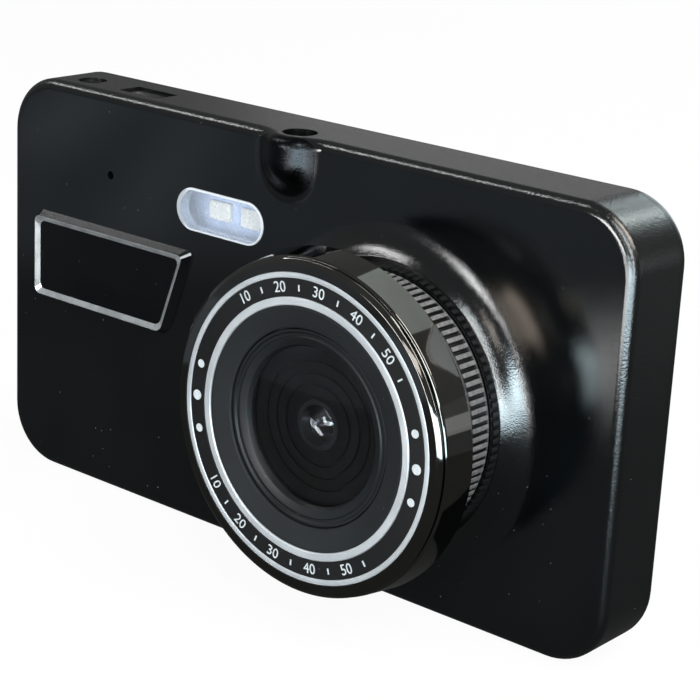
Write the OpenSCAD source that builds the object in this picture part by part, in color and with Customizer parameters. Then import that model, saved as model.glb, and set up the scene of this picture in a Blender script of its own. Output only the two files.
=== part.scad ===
// Dash camera: a slim rounded case that stands on its long edge, with a large lens head on the
// front, a screen and six keys on the back, and a threaded bracket socket in the top edge.
// Millimetres. +X is right as seen from the front, the lens looks along -Y, +Z is up.
// The origin is under the middle of the overall box, on the surface that the case stands on.

/* [Body] */
// Width of the case
body_w = 110; // [104:0.5:140]
// Height of the case
body_h = 60; // [58:0.5:80]
// Thickness of the case, from front plate to back face
body_t = 12; // [12:0.1:18]
// Depth of the rear cover, from the seam to the back face
cover_t = 2.05; // [1.7:0.05:2.5]
// Room between the screw heads of the main board and the display tray
board_gap = 0.125; // [0.1:0.005:0.3]
// Wall thickness of both shells
wall = 1.6; // [1.3:0.05:1.95]
// Radius of the four corners seen from the front
corner_r = 8.5; // [7:0.1:12]
// Radius of the rounded front and back edges
edge_r = 1.5; // [0.8:0.1:2]

/* [Lens head] */
// Lens axis, to the right of the middle of the case
lens_x = 19.5; // [16:0.5:22]
// Lens axis, above the bottom of the case
lens_z = 27.9; // [27:0.1:34]
// Reach of the lens head in front of the front plate
head_h = 17.55; // [16.5:0.05:22]
// Radius of the bezel over its drum
bezel_r = 22.6; // [22.2:0.1:24]
// Radius of the bezel over its front band
bezel_front_r = 21.9; // [21.4:0.1:22.2]
// Length of the bezel along the lens axis
bezel_l = 5.5; // [4.5:0.05:6]
// Length of the front band of the bezel
band_l = 1; // [0.9:0.05:1.4]
// Radius of the barrel spigot that carries the bezel
spigot_r = 20.2; // [19.8:0.1:20.5]
// Radius of the barrel neck that goes into the case
neck_r = 15.5; // [13.5:0.1:15.8]
// Radius of the bore of the barrel neck
neck_bore_r = 12.2; // [12:0.05:12.6]
// Radius of the barrel behind its flare
flare_back_r = 17.4; // [17:0.1:18]
// Radius of the barrel in front of its flare
flare_front_r = 20.9; // [20.5:0.1:21.5]
// Radius of the hollow curve of the flare
flare_arc_r = 15; // [8:0.5:30]
// Radius of the focus ring over its ridges
knurl_r = 18.2; // [17.8:0.05:18.6]
// Height of a ridge of the focus ring
knurl_depth = 0.4; // [0.2:0.05:0.6]
// Number of ridges round the focus ring
knurl_count = 96; // [60:1:120]
// Share of the pitch of the ridges that is groove
groove_share = 0.22; // [0.15:0.01:0.4]
// Share of the pitch of the ridges that is taken by one sloping side
slope_share = 0.1; // [0.05:0.01:0.2]
// Length of the focus ring along the lens axis
ring_l = 3.85; // [3.6:0.05:4.2]
// Turn of the focus ring to each side
ring_turn = 30; // [10:1:35]
// Height of the collar round the lens
collar_h = 2.4; // [1.8:0.1:2.8]
// Radius of the collar at its lip
collar_lip_r = 19.6; // [18.8:0.1:20.5]
// Radius of the rounded edge of the collar's lip
lip_soft = 0.35; // [0.2:0.05:0.5]
// Radius of the collar at its base
collar_base_r = 24.6; // [23:0.1:26]
// Radius of the visible front glass
glass_view_r = 10.4; // [8.6:0.1:12.5]
// Width of the edge of the front glass under its retainer
glass_edge = 1.6; // [1.2:0.05:1.8]
// Radius of the small lens behind the front glass
pupil_r = 3.3; // [2.7:0.1:4]
// Radius of the thread of the lens cell
cell_thread_r = 5.95; // [4.95:0.05:7.2]

/* [Screen and keys] */
// Margin from the side of the case to the visible screen
view_side = 10.7; // [9.9:0.1:14]
// Margin from the top and bottom of the case to the visible screen
view_edge = 5.1; // [5:0.1:9]
// Margin of the screen window round the visible screen
window_margin = 1.9; // [1.5:0.1:2]
// Width of a key
key_w = 4.4; // [3.5:0.1:5.3]
// Height of a key
key_l = 8; // [6:0.1:9.7]
// Distance from one key to the next
key_pitch = 14; // [10.5:0.1:14.5]
// Distance from a key to the side of the case
key_side = 2.6; // [2.4:0.1:2.8]
// Height of a key above the back face
key_proud = 0.4; // [0.2:0.05:1]
// Travel of a key
key_travel = 0.3; // [0.15:0.05:0.35]

/* [Ports and socket] */
// Wall radius of the threaded bracket socket, tapped for a 5 mm screw
socket_r = 2.1; // [1.6:0.05:2.55]
// Widening of the hole in the top edge over the socket
mouth_gap = 0.3; // [0.2:0.05:0.5]
// Length of the brass insert
insert_l = 4.2; // [3:0.1:4.4]
// Outer radius of the brass insert
insert_r = 3.1; // [2.9:0.05:3.75]
// Radius of the boss round the insert
boss_r = 4.5; // [4.3:0.1:5.4]
// Depth of the socket axis behind the front plate
socket_d = 2.1; // [2:0.1:2.3]
// Distance of the video jack from the left side
jack_side = 12.2; // [11:0.1:14]
// Wall radius of the bore of the video jack
jack_bore_r = 1.3; // [1.2:0.05:1.8]
// Radius of the nose of the video jack
jack_nose_r = 2; // [1.9:0.05:2.1]
// Distance of the charging port from the left side
port_side = 23.6; // [21:0.1:27]
// Width of the shell of the charging port
port_w = 7.7; // [7:0.1:8]
// Thickness of the shell of the charging port
port_t = 3.85; // [3:0.05:4.65]
// Length of the memory card
card_l = 15; // [14:0.5:18]
// Width of the memory card
card_w = 11; // [10:0.5:14]
// Thickness of the memory card
card_t = 0.8; // [0.6:0.05:0.9]

/* [Badge and light] */
// Left end of the name plate, from the middle
badge_left = -49.3; // [-51:0.1:-45]
// Right end of the name plate along its top
badge_right_top = -17; // [-20:0.1:-15]
// Right end of the name plate along its bottom
badge_right_low = -21.6; // [-26:0.1:-19]
// Top of the name plate, above the bottom of the case
badge_top = 40.25; // [38:0.05:42]
// Bottom of the name plate
badge_low = 26.9; // [25:0.1:30]
// Height of the name plate above the front plate
badge_h = 1.3; // [0.6:0.1:1.6]
// How far the sides of the name plate slope in on their way up
badge_slope = 0.65; // [0.3:0.05:0.9]
// Width of the bevel inside the rim of the name plate
badge_bevel = 0.8; // [0.5:0.05:1.2]
// Centre of the light window, from the middle
light_x = -12.2; // [-16:0.1:-12]
// Centre of the light window, above the bottom
light_z = 46.35; // [46:0.05:47]
// Length of the light window
light_l = 16.4; // [12:0.1:19.7]
// Height of the light window
light_w = 6.1; // [5:0.1:7.4]
// Distance of the reset hole from the left side
reset_side = 21.1; // [19:0.1:24]
// Distance of the reset hole from the top
reset_drop = 11.9; // [11.5:0.1:13]
// Radius of the reset hole
reset_r = 0.6; // [0.4:0.05:0.8]
// Travel of the reset plunger
reset_travel = 0.25; // [0.1:0.05:0.28]

/* [Clearances] */
// Radial clearance of turning and sliding round fits
fit = 0.05; // [0.02:0.01:0.1]
// Side clearance of parts that sit in an opening
slip = 0.1; // [0.05:0.01:0.2]
// End clearance of parts that stop just short of each other
seat = 0.05; // [0.02:0.01:0.08]
// Clearance round screw heads and driving dogs
head_gap = 0.2; // [0.1:0.01:0.3]
// End clearance of the focus ring on each side
ring_gap = 0.15; // [0.1:0.01:0.3]
// Side clearance of the keys in the back cover
key_gap = 0.2; // [0.1:0.01:0.3]

/* [Hidden] */
$fn = 96;

// Frame: the front plate lies at plate_y, so that the overall box is centred on the origin
overall_d = head_h + body_t + key_proud;
plate_y = head_h - overall_d / 2;
mid_z = body_h / 2;
in_wall_x = body_w / 2 - wall;
// Overrun of a cut past the face that it opens, and of a foot into the skin that it stands on
cut = 1;
foot = wall / 2;
// Depth by which the end of a hollow curve dips under the face that it runs into
sink = 0.02;

// Depth stations behind the front plate
board_t = 1;
seam_d = body_t - cover_t;
screw_head_h = 0.5;
cover_in_d = body_t - wall;
gasket_t = 0.2;
panel_t = 1;
tray_t = 0.8;
panel_back_d = cover_in_d - gasket_t;
panel_front_d = panel_back_d - panel_t;
tray_front_d = panel_front_d - tray_t;
board_back_d = tray_front_d - board_gap - screw_head_h;
board_d = board_back_d - board_t;

// Screen stack
view_w = body_w - 2 * view_side;
view_h = body_h - 2 * view_edge;
window_t = 1;
window_w = view_w + 2 * window_margin;
window_h = view_h + 2 * window_margin;
window_r = 2;
view_r = 1;
panel_border = 1.1;
panel_w = view_w + 2 * panel_border;
panel_h = view_h + 2 * panel_border;
tray_rail = 0.45;
tray_floor = 0.4;
tray_w = panel_w + 2 * (tray_rail + fit);
tray_h = panel_h + 2 * (tray_rail + fit);
gasket_open = 0.2;

// Case screws and their posts
case_post_r = 2.4;
case_screw_r = 0.9;
case_head_r = 1.7;
case_head_h = 0.8;
case_post_x = body_w / 2 - case_post_r - wall - 0.4;
case_post_z = 8;
case_posts = [for (sx = [-1, 1], z = [case_post_z, body_h - case_post_z]) [sx * case_post_x, z]];
case_hole_l = 5.5;
// Room left under the tip of every screw
tip_gap = 0.3;

// Main board, its posts and screws
board_margin = 1;
board_x = in_wall_x - board_margin;
board_low_z = wall + board_margin;
board_h = body_h - 2 * board_low_z;
board_post_r = 2.2;
board_screw_r = 0.8;
board_head_r = 1.5;
board_hole_l = 4.5;

// Keys and their switches
key_x = body_w / 2 - key_side - key_w / 2;
key_flange = 0.6;
key_flange_t = 0.5;
key_seat_d = cover_in_d - seat;
key_stem_r = 1;
switch_t = 1.3;
switch_w = 3.6;
switch_l = 4.2;
key_stem_end_d = board_back_d + switch_t + key_travel + seat;

// Lens stations in front of the front plate
ring_back_h = collar_h + ring_gap;
ring_front_h = ring_back_h + ring_l;
shoulder_h = ring_front_h + ring_gap;
bezel_back_h = head_h - bezel_l;
flare_end_h = bezel_back_h - slip;
dial_t = 0.95;
trim_proud = 0.05;
face_h = head_h - dial_t - 2 * trim_proud;
cone_seat_h = face_h - 0.75;
shelf_h = face_h - 3.45;
shelf_t = 0.7;
shelf_r = glass_view_r - 0.4;
web_t = 0.6;
ring_rim = 0.35;
bezel_soft = 0.4;
cone_low = 0.35;
seal_open = 0.4;
baffle_grooves = [5, 6.6, 8.2];
baffle_groove_w = 0.5;
baffle_groove_d = 0.3;
baffle_t = 0.9;
seal_t = 0.6;
glass_edge_t = 0.9;
glass_rise = 0.35;
glass_back_h = shelf_h + baffle_t + seal_t;
glass_edge_h = glass_back_h + glass_edge_t;
glass_r = glass_view_r + glass_edge;
retainer_r = glass_r + 0.8;
retainer_h = 1.1;
cone_in_r = retainer_r + 0.15;
trim_in_r = 15.95;
dial_in_r = 17.06;
dial_out_r = spigot_r - 0.75;
ink_t = 0.05;
dot_pcr = dial_out_r - 0.95;
dot_r = [0.68, 0.55];
dot_step = 14;
stroke_rows = 4;
stroke_step = 10;
stroke_inset = 0.55;
stroke_w = 0.24;
stroke_l = [1.25, 0.7];
core_r = retainer_r + 1.8;
// Opening of the front plate behind the barrel neck
throat_r = neck_bore_r - 0.7;

// Lens cell, its drive flange and its holder
cell_flange_r = neck_bore_r - 0.4;
cell_flange_h = 3.8;
cell_flange_t = 2.4;
cell_body_r = cell_thread_r + 1.05;
cell_back_h = -3.4;
cell_nose_h = shelf_h + baffle_t + 0.2;
cell_wall = 1.3;
nose_wall = 0.6;
cell_shoulder_h = shelf_h - 0.4;
holder_tube_r = cell_thread_r + 1.65;
holder_top_h = cell_flange_h - 0.4;
holder_base = 2 * holder_tube_r - 0.2;
holder_base_t = 3;
holder_ear_x = holder_base / 2 + 1.7;
holder_ear_r = 1.8;
holder_screw_r = 0.7;
holder_screw_l = 3.2;
holder_roof = 0.4;
filter_w = 8.5;
filter_t = 0.3;
sensor_size = [8.2, 7.4];
sensor_t = 0.9;
element_dome_r = pupil_r - nose_wall + 0.5;
element_edge_t = 1.4;
element_inset = 1.6;
rear_inset = 0.4;
rear_t = 2;
dog_w = 2;
dog_t = 1.4;
dog_h = cell_flange_h + cell_flange_t / 2;
dog_reach_r = cell_flange_r - 1.2;
dog_slot_turn = ring_turn + 6;
dog_root = 0.8;
dog_angles = [90, 210, 330];
barrel_screw_pcr = (neck_r + neck_bore_r) / 2;
barrel_screw_r = 0.7;
barrel_screw_l = 4.6;
barrel_head_r = 1.4;
barrel_head_h = 0.8;

// Bracket socket
socket_mouth_r = socket_r + mouth_gap;
insert_top_z = body_h - 1.8;
insert_low_z = insert_top_z - insert_l;
bump_z = body_h - 3.4;
bump_arc_r = 6;
bump_arc_h = bump_arc_r - sink;
bump_reach = sqrt(pow(boss_r + bump_arc_h, 2) - pow(socket_d + bump_arc_h, 2));
boss_low_z = insert_low_z - 0.6;

// Name plate
badge_corners = [
    [badge_left, badge_low], [badge_right_low, badge_low],
    [badge_right_top, badge_top], [badge_left, badge_top]
];
badge_corner_r = 1.2;
badge_rim_r = 1;
badge_rim = inset(badge_corners, badge_slope);
badge_land = 0.1;
badge_bevel_d = 0.5;
badge_inner = inset(badge_rim, badge_land + badge_bevel);
badge_layer = 0.01;
badge_fn = 32;
panel_face_h = badge_h - badge_bevel_d;

// Light window and its board
light_flange = 0.9;
light_flange_t = 0.45;
light_proud = 0.15;
led_t = 0.7;
led_size = [4.6, 3.5];
led_spread = 3.75;
led_gap = 1.2;
led_pin_r = 0.3;
led_pin_pitch = 2.54;
led_board_t = 0.8;
led_board_margin = 1.8;
led_board_over = 1.2;
led_front_d = wall + light_flange_t + led_gap;
led_board_d = led_front_d + led_t;
led_post_x = light_l / 2 + 2.6;
led_post_r = 1.1;
led_stake_r = 0.5;
led_stake_head = 0.3;

// Reset plunger
reset_x = reset_side - body_w / 2;
reset_z = body_h - reset_drop;
reset_tube_r = 1.7;
reset_pin_r = 0.9;
reset_switch_t = 1.5;
reset_switch_w = 3.5;
reset_pin_end_d = board_d - reset_switch_t - reset_travel - seat;
reset_tube_end_d = reset_pin_end_d - 0.6;

// Video jack, charging port and memory card
jack_x = jack_side - body_w / 2;
jack_w = 5.6;
jack_t = 4.3;
jack_l = 11;
jack_d = board_d - jack_t / 2;
jack_bore_l = 10;
jack_top_z = body_h - 0.4;
port_x = port_side - body_w / 2;
port_d = board_d - port_t / 2;
port_wall = 0.3;
port_tongue = [4.6, 1.1];
port_tongue_back = 1.2;
port_l = 8.8;
port_top_z = body_h - 0.6;
card_z = mid_z - 2;
card_back_d = board_d - 0.38;
card_out_x = -body_w / 2 + 0.2;
card_push = 0.6;
card_socket_wall = 0.28;
card_socket_side = 0.7;
card_socket_l = card_l - 1.2;
card_notch = 0.7;

// Battery, speaker and microphone
battery_w = 34;
battery_h = 32;
battery_t = 4.2;
battery_x = -33;
battery_z = 6;
pad_t = 0.3;
pad_inset = 2;
lead_r = 0.45;
lead_rise = 2.4;
lead_places = [-7, -4.6];
speaker_w = 16;
speaker_h = 9;
speaker_t = 4;
speaker_x = body_w / 2 - corner_r - speaker_w - 0.5;
speaker_wall = 0.8;
speaker_holes = 5;
speaker_hole_r = 0.6;
speaker_hole_pitch = 2.6;
mic_r = 2;
mic_t = 1.7;
mic_x = corner_r + mic_r - body_w / 2;
mic_d = board_d - mic_r - slip;
mic_hole_r = 0.5;

// Main board posts, which keep clear of the port, the battery and the shield can
board_posts = [[-40, 10], [44, 16], [29, body_h - 8], [port_x + 7.9, body_h - 5.8]];

// Packages on the front of the main board, as [left, low, width, height, thickness]
chip_left = 2.4 - board_x;
chips = [
    [38, 43, 9, 12, 1.1], [12, 49, 7, 5, 1.2], [-23, 40.6, 6, 6, 0.9], [-16.5, 39.4, 3.2, 2.5, 0.8],
    [chip_left, card_z + 14, 5, 3.6, 1.6], [chip_left, card_z + 9.5, 2, 1.2, 0.6],
    [chip_left + 3, card_z + 9.5, 2, 1.2, 0.6], [35, 44, 2, 1.2, 0.6], [35, 47, 2, 1.2, 0.6],
    [35, 50, 2, 1.2, 0.6], [7, 42.6, 4, 4, 2], [chip_left, 15, 4, 4, 1.8]
];
can_w = 15;
can_h = 20;
can_t = 2.2;
can_x = board_x - can_w - 2.9;
can_z = 19.5;
can_sheet = 0.25;

// Screen ribbon
ribbon_t = 0.2;
ribbon_w = 16;
ribbon_x = 14;
ribbon_socket_z = board_low_z + 1;
ribbon_socket_h = 3;
ribbon_socket_t = 1.2;
ribbon_socket_side = 1.5;
ribbon_low_z = board_low_z - 0.5;
ribbon_lap = 3;

// Tongues of the back cover that reach into the front housing, as [left, right, low]
cover_lip = 1;
cover_lip_l = 1.1;
cover_lips = [[-40, -36, true], [-4, 4, true], [30, 40, true], [-20, 20, false]];

// Direction of an edge and the outward normal on its right
function unit(v) = v / norm(v);
function edge_normal(a, b) = let (d = unit(b - a)) [d[1], -d[0]];
// Corners of an outline, anticlockwise, moved inwards by d
function inset(pts, d) = [
    for (i = [0 : len(pts) - 1])
        let (
            n = len(pts),
            n1 = edge_normal(pts[(i + n - 1) % n], pts[i]),
            n2 = edge_normal(pts[i], pts[(i + 1) % n])
        )
        pts[i] - d * (n1 + n2) / (1 + n1 * n2)
];
// Points where the straight sides of a rounded outline end
function tangent_points(pts, r) = let (c = inset(pts, r), n = len(pts)) [
    for (i = [0 : n - 1], k = [0, 1])
        c[i] + r * (k == 0
            ? edge_normal(pts[(i + n - 1) % n], pts[i])
            : edge_normal(pts[i], pts[(i + 1) % n]))
];
// Centre of an arc of radius r from a to b, on the right of the way from a to b
function arc_centre(a, b, r) =
    let (half = norm(b - a) / 2) (a + b) / 2 + edge_normal(a, b) * sqrt(r * r - half * half);

// Frame of the front plate: x to the right, y up from the bottom, z towards the viewer
module at_face() {
    translate([0, plate_y, 0]) rotate([90, 0, 0]) children();
}

// Frame of the lens: z along the lens axis from the front plate
module at_lens() {
    at_face() translate([lens_x, lens_z, 0]) children();
}

// A place at depth d behind the front plate
module deep(d) {
    translate([0, 0, -d]) children();
}

// A rod along the up direction of the front plate frame
module upright(r, h) {
    rotate([-90, 0, 0]) cylinder(r = r, h = h);
}

module rounded_rect(w, h, r) {
    square([w - 2 * r, h], center = true);
    square([w, h - 2 * r], center = true);
    for (sx = [-1, 1], sy = [-1, 1])
        translate([sx * (w / 2 - r), sy * (h / 2 - r)]) circle(r);
}

module stadium(l, w) {
    square([l - w, w], center = true);
    for (s = [-1, 1]) translate([s * (l - w) / 2, 0]) circle(w / 2);
}

module rounded_outline(pts, r) {
    polygon(tangent_points(pts, r));
    for (c = inset(pts, r)) translate(c) circle(r);
}

module ring(r_out, r_in, h) {
    difference() {
        cylinder(r = r_out, h = h);
        translate([0, 0, -cut]) cylinder(r = r_in, h = h + 2 * cut);
    }
}

// Half section of a rounded edge: r from the corner centre, depth below the face, edge radius f
module edge_section(r, depth, f) {
    translate([0, -depth]) square([r, depth - f]);
    translate([0, -f]) square([r - f, f]);
    translate([r - f, -f]) intersection() {
        circle(f);
        square(f);
    }
}

// A block under z = 0 with round corners and its upper edge rounded
module soft_block(w, h, r, depth, f) {
    translate([r - w / 2, r - h / 2, -depth]) cube([w - 2 * r, h - 2 * r, depth]);
    for (k = [0 : 3]) {
        reach = k % 2 == 0 ? w / 2 - r : h / 2 - r;
        run = k % 2 == 0 ? h - 2 * r : w - 2 * r;
        rotate([0, 0, 90 * k]) {
            translate([reach, 0, 0]) rotate([90, 0, 0])
                linear_extrude(run, center = true) edge_section(r, depth, f);
            translate([reach, run / 2, 0]) rotate_extrude(angle = 90) edge_section(r, depth, f);
        }
    }
}

// Section of the collar: a hollow curve from the front plate up to the lip
module collar_section() {
    rise = collar_h + sink;
    run = collar_base_r - collar_lip_r;
    arc_r = (run * run + rise * rise) / (2 * rise);
    bore_r = neck_r + fit;
    hub = [collar_base_r, arc_r - sink];
    lip_h = collar_h - lip_soft;
    lip = [hub[0] - sqrt(pow(arc_r + lip_soft, 2) - pow(lip_h - hub[1], 2)), lip_h];
    low = hub + (lip - hub) * arc_r / (arc_r + lip_soft);
    difference() {
        translate([bore_r, -foot]) square([collar_base_r - bore_r, collar_h + foot]);
        translate(hub) circle(arc_r);
        polygon([lip, [lip[0], collar_h + cut], [hub[0], collar_h + cut], low]);
    }
    translate(lip) circle(lip_soft);
}

// Half section of the bump over the bracket socket: round top edge, straight side, ball end
module bump_section(run) {
    edge_section(boss_r, run, edge_r);
    intersection() {
        translate([0, -run]) circle(boss_r);
        translate([0, -run - boss_r]) square([boss_r, boss_r]);
    }
}

// Plan of a hollow flank beside the bump: across from its axis, then forward
module flank_plan() {
    polygon([[0, -socket_d], [bump_reach, -socket_d], [bump_reach, bump_arc_h]]);
}

// Section of the room in front of a hollow flank, which opens round the top edge
module flank_room_section(run) {
    translate([0, -cut]) square([bump_arc_r, run + 2 * cut]);
    difference() {
        translate([bump_arc_r - edge_r, run - edge_r]) square([2 * edge_r, edge_r + cut]);
        translate([bump_arc_r + edge_r, run - edge_r]) circle(edge_r);
    }
}

// Bump on the front plate that covers the bracket socket
module socket_bump() {
    run = body_h - bump_z;
    translate([0, body_h, -socket_d]) rotate([-90, 0, 0]) rotate_extrude() bump_section(run);
    for (s = [0, 1]) mirror([s, 0, 0]) difference() {
        translate([0, bump_z, 0]) rotate([-90, 0, 0]) mirror([0, 1, 0]) linear_extrude(run) flank_plan();
        translate([bump_reach, bump_z, bump_arc_h]) rotate([-90, 0, 0])
            rotate_extrude() flank_room_section(run);
    }
    translate([0, bump_z, 0]) rotate([0, 0, 180]) rotate_extrude(angle = 180) difference() {
        flank_plan();
        translate([bump_reach, bump_arc_h]) circle(bump_arc_r);
    }
}

// Outside of the front housing
module front_skin() {
    translate([0, mid_z, 0]) soft_block(body_w, body_h, corner_r, seam_d, edge_r);
    translate([lens_x, lens_z, 0]) rotate_extrude() collar_section();
    socket_bump();
}

// Posts, tubes and the socket boss inside the front housing
module front_posts() {
    for (p = case_posts)
        translate([p[0], p[1], -seam_d]) cylinder(r = case_post_r, h = seam_d - foot);
    for (p = board_posts)
        translate([p[0], p[1], -board_d]) cylinder(r = board_post_r, h = board_d - foot);
    for (s = [-1, 1]) translate([light_x + s * led_post_x, light_z, 0]) {
        deep(led_board_d) cylinder(r = led_post_r, h = led_board_d - foot);
        deep(led_board_d + led_board_t + led_stake_head)
            cylinder(r = led_stake_r, h = led_board_t + led_stake_head + foot);
    }
    translate([reset_x, reset_z, -reset_tube_end_d])
        cylinder(r = reset_tube_r, h = reset_tube_end_d - foot);
    intersection() {
        translate([0, boss_low_z, -socket_d]) upright(boss_r, body_h - foot - boss_low_z);
        translate([-boss_r, 0, -board_d]) cube([2 * boss_r, body_h, board_d - foot]);
    }
}

// Openings of the front housing
module front_openings() {
    through = wall + 2 * cut;
    behind = -wall - cut;
    translate([lens_x, lens_z, 0]) {
        cylinder(r = neck_r + fit, h = collar_h + cut);
        translate([0, 0, behind]) cylinder(r = throat_r, h = through);
        for (a = dog_angles) rotate([0, 0, a + 60])
            translate([barrel_screw_pcr, 0, behind]) cylinder(r = barrel_screw_r + slip, h = through);
    }
    translate([light_x, light_z, behind]) linear_extrude(through)
        stadium(light_l + 2 * fit, light_w + 2 * fit);
    translate([reset_x, reset_z, behind]) cylinder(r = reset_r, h = through);
    translate([reset_x, reset_z, -reset_tube_end_d - cut])
        cylinder(r = reset_pin_r + fit, h = reset_tube_end_d + cut - wall);
    translate([0, insert_low_z - fit, -socket_d]) upright(insert_r + fit, insert_l + fit);
    translate([0, insert_low_z, -socket_d]) upright(socket_mouth_r, body_h);
    translate([jack_x, mid_z, -jack_d]) upright(jack_nose_r + slip, body_h);
    translate([port_x - port_w / 2 - slip, mid_z, -port_d - port_t / 2 - slip])
        cube([port_w + 2 * slip, body_h, port_t + 2 * slip]);
    translate([-body_w / 2 - cut, card_z - card_w / 2 - slip, -card_back_d - slip])
        cube([through, card_w + 2 * slip, card_t + 2 * slip]);
    for (i = [1 : speaker_holes])
        translate([speaker_x + speaker_w / 2, -cut, speaker_t / 2 - board_d])
            translate([(i - (speaker_holes + 1) / 2) * speaker_hole_pitch, 0, 0])
                upright(speaker_hole_r, through);
    translate([mic_x, -cut, -mic_d]) upright(mic_hole_r, through);
    for (p = case_posts)
        translate([p[0], p[1], -seam_d - cut]) cylinder(r = case_screw_r + fit, h = case_hole_l + cut);
    for (p = board_posts)
        translate([p[0], p[1], -board_d - cut]) cylinder(r = board_screw_r + fit, h = board_hole_l + cut);
}

module front_housing() {
    color("#14181a") at_face() difference() {
        union() {
            difference() {
                front_skin();
                translate([0, mid_z, -seam_d - cut]) linear_extrude(seam_d + cut - wall)
                    rounded_rect(body_w - 2 * wall, body_h - 2 * wall, corner_r - wall);
            }
            front_posts();
        }
        front_openings();
    }
}

module rear_cover() {
    lip_z = wall + slip;
    root_d = cover_in_d + foot;
    color("#131517") at_face() difference() {
        union() {
            difference() {
                translate([0, mid_z, -body_t]) mirror([0, 0, 1])
                    soft_block(body_w, body_h, corner_r, body_t - seam_d, edge_r);
                translate([0, mid_z, -cover_in_d]) linear_extrude(body_t)
                    rounded_rect(body_w - 2 * wall, body_h - 2 * wall, corner_r - wall);
            }
            for (p = case_posts)
                translate([p[0], p[1], -root_d]) cylinder(r = case_post_r, h = root_d - seam_d);
            for (l = cover_lips)
                translate([l[0], l[2] ? lip_z : body_h - lip_z - cover_lip, -root_d])
                    cube([l[1] - l[0], cover_lip, root_d - seam_d + cover_lip_l]);
        }
        translate([0, mid_z, -body_t - cut]) {
            linear_extrude(window_t + cut)
                rounded_rect(window_w + 2 * slip, window_h + 2 * slip, window_r + slip);
            linear_extrude(body_t) rounded_rect(view_w, view_h, view_r);
            for (sx = [-1, 1], k = [-1, 0, 1])
                translate([sx * key_x, k * key_pitch, 0]) rotate([0, 0, 90])
                    linear_extrude(wall + 2 * cut) stadium(key_l + 2 * key_gap, key_w + 2 * key_gap);
        }
        for (p = case_posts) translate([p[0], p[1], -body_t - cut]) {
            cylinder(r = case_screw_r + head_gap, h = body_t);
            cylinder(r = case_head_r + head_gap, h = cut + case_head_h);
        }
    }
}

module screen_window() {
    color("#0a0c10") at_face() translate([0, mid_z, -body_t]) linear_extrude(window_t)
        rounded_rect(window_w, window_h, window_r);
}

module screen_gasket() {
    color("#222222") at_face() translate([0, mid_z, -cover_in_d]) linear_extrude(gasket_t) difference() {
        square([panel_w, panel_h], center = true);
        square([view_w + 2 * gasket_open, view_h + 2 * gasket_open], center = true);
    }
}

module lcd_panel() {
    color("#1a1f2a") at_face() translate([-panel_w / 2, mid_z - panel_h / 2, -panel_back_d])
        cube([panel_w, panel_h, panel_t]);
}

module lcd_frame() {
    color("#d8d8d4") at_face() translate([0, mid_z, -panel_back_d]) difference() {
        linear_extrude(panel_t + tray_t) square([tray_w, tray_h], center = true);
        translate([0, 0, -cut]) {
            linear_extrude(panel_t + cut)
                square([tray_w - 2 * tray_rail, tray_h - 2 * tray_rail], center = true);
            linear_extrude(panel_t + tray_t - tray_floor + cut) square([view_w, view_h], center = true);
        }
    }
}

module lcd_ribbon() {
    front_d = board_d - ribbon_socket_t / 2;
    top_z = mid_z - tray_h / 2 + ribbon_lap;
    color("#b5651d") at_face() translate([ribbon_x - ribbon_w / 2, ribbon_low_z, 0]) {
        deep(tray_front_d) cube([ribbon_w, top_z - ribbon_low_z, ribbon_t]);
        deep(tray_front_d) cube([ribbon_w, ribbon_t, tray_front_d - front_d + ribbon_t]);
        deep(front_d) cube([ribbon_w, ribbon_socket_z - ribbon_low_z, ribbon_t]);
    }
}

module ribbon_socket() {
    w = ribbon_w + 2 * ribbon_socket_side;
    color("#e8e2d0") at_face() translate([ribbon_x - w / 2, ribbon_socket_z, -board_d])
        cube([w, ribbon_socket_h, ribbon_socket_t]);
}

module main_board() {
    notch_r = case_post_r + 0.4;
    through = board_t + 2 * cut;
    color("#1d5b36") at_face() translate([0, 0, -board_back_d]) difference() {
        translate([0, mid_z, 0]) linear_extrude(board_t)
            rounded_rect(2 * board_x, board_h, corner_r - wall - board_margin);
        for (p = case_posts) translate([p[0], p[1], -cut]) {
            cylinder(r = notch_r, h = through);
            translate([p[0] > 0 ? 0 : -body_w, -notch_r, 0]) cube([body_w, 2 * notch_r, through]);
        }
        for (p = board_posts)
            translate([p[0], p[1], -cut]) cylinder(r = board_screw_r + slip, h = through);
        for (s = [-1, 1]) translate([lens_x + s * holder_ear_x, lens_z, -cut])
            cylinder(r = holder_screw_r + slip, h = through);
    }
}

module board_chips() {
    color("#22252a") at_face() for (c = chips)
        translate([c[0], c[1], -board_d]) cube([c[2], c[3], c[4]]);
}

module shield_can() {
    color("#b8bcc0") at_face() translate([can_x, can_z, -board_d]) difference() {
        cube([can_w, can_h, can_t]);
        translate([can_sheet, can_sheet, -cut])
            cube([can_w - 2 * can_sheet, can_h - 2 * can_sheet, can_t - can_sheet + cut]);
    }
}

module battery() {
    color("#9aa0a6") at_face()
        translate([battery_x + battery_w / 2, battery_z, pad_t + battery_t / 2 - board_d])
            rotate([-90, 0, 0]) linear_extrude(battery_h) stadium(battery_w, battery_t);
}

module battery_pad() {
    color("#e9e4d8") at_face() translate([battery_x + battery_t / 2, battery_z + pad_inset, -board_d])
        cube([battery_w - battery_t, battery_h - 2 * pad_inset, pad_t]);
}

// Two leads that rise from the battery and turn back to the main board
module battery_leads() {
    lead_d = board_d - pad_t - battery_t / 2;
    color("#a02020") at_face() for (x = lead_places) translate([x, battery_z + battery_h, -lead_d]) {
        upright(lead_r, lead_rise);
        translate([0, lead_rise, 0]) {
            sphere(lead_r);
            deep(board_d - lead_d) cylinder(r = lead_r, h = board_d - lead_d);
        }
    }
}

module speaker() {
    color("#2b2b2e") at_face() translate([speaker_x, wall + slip, -board_d]) difference() {
        cube([speaker_w, speaker_h, speaker_t]);
        translate([speaker_wall, -cut, speaker_wall])
            cube([speaker_w - 2 * speaker_wall, cut + speaker_wall, speaker_t - 2 * speaker_wall]);
    }
}

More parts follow.
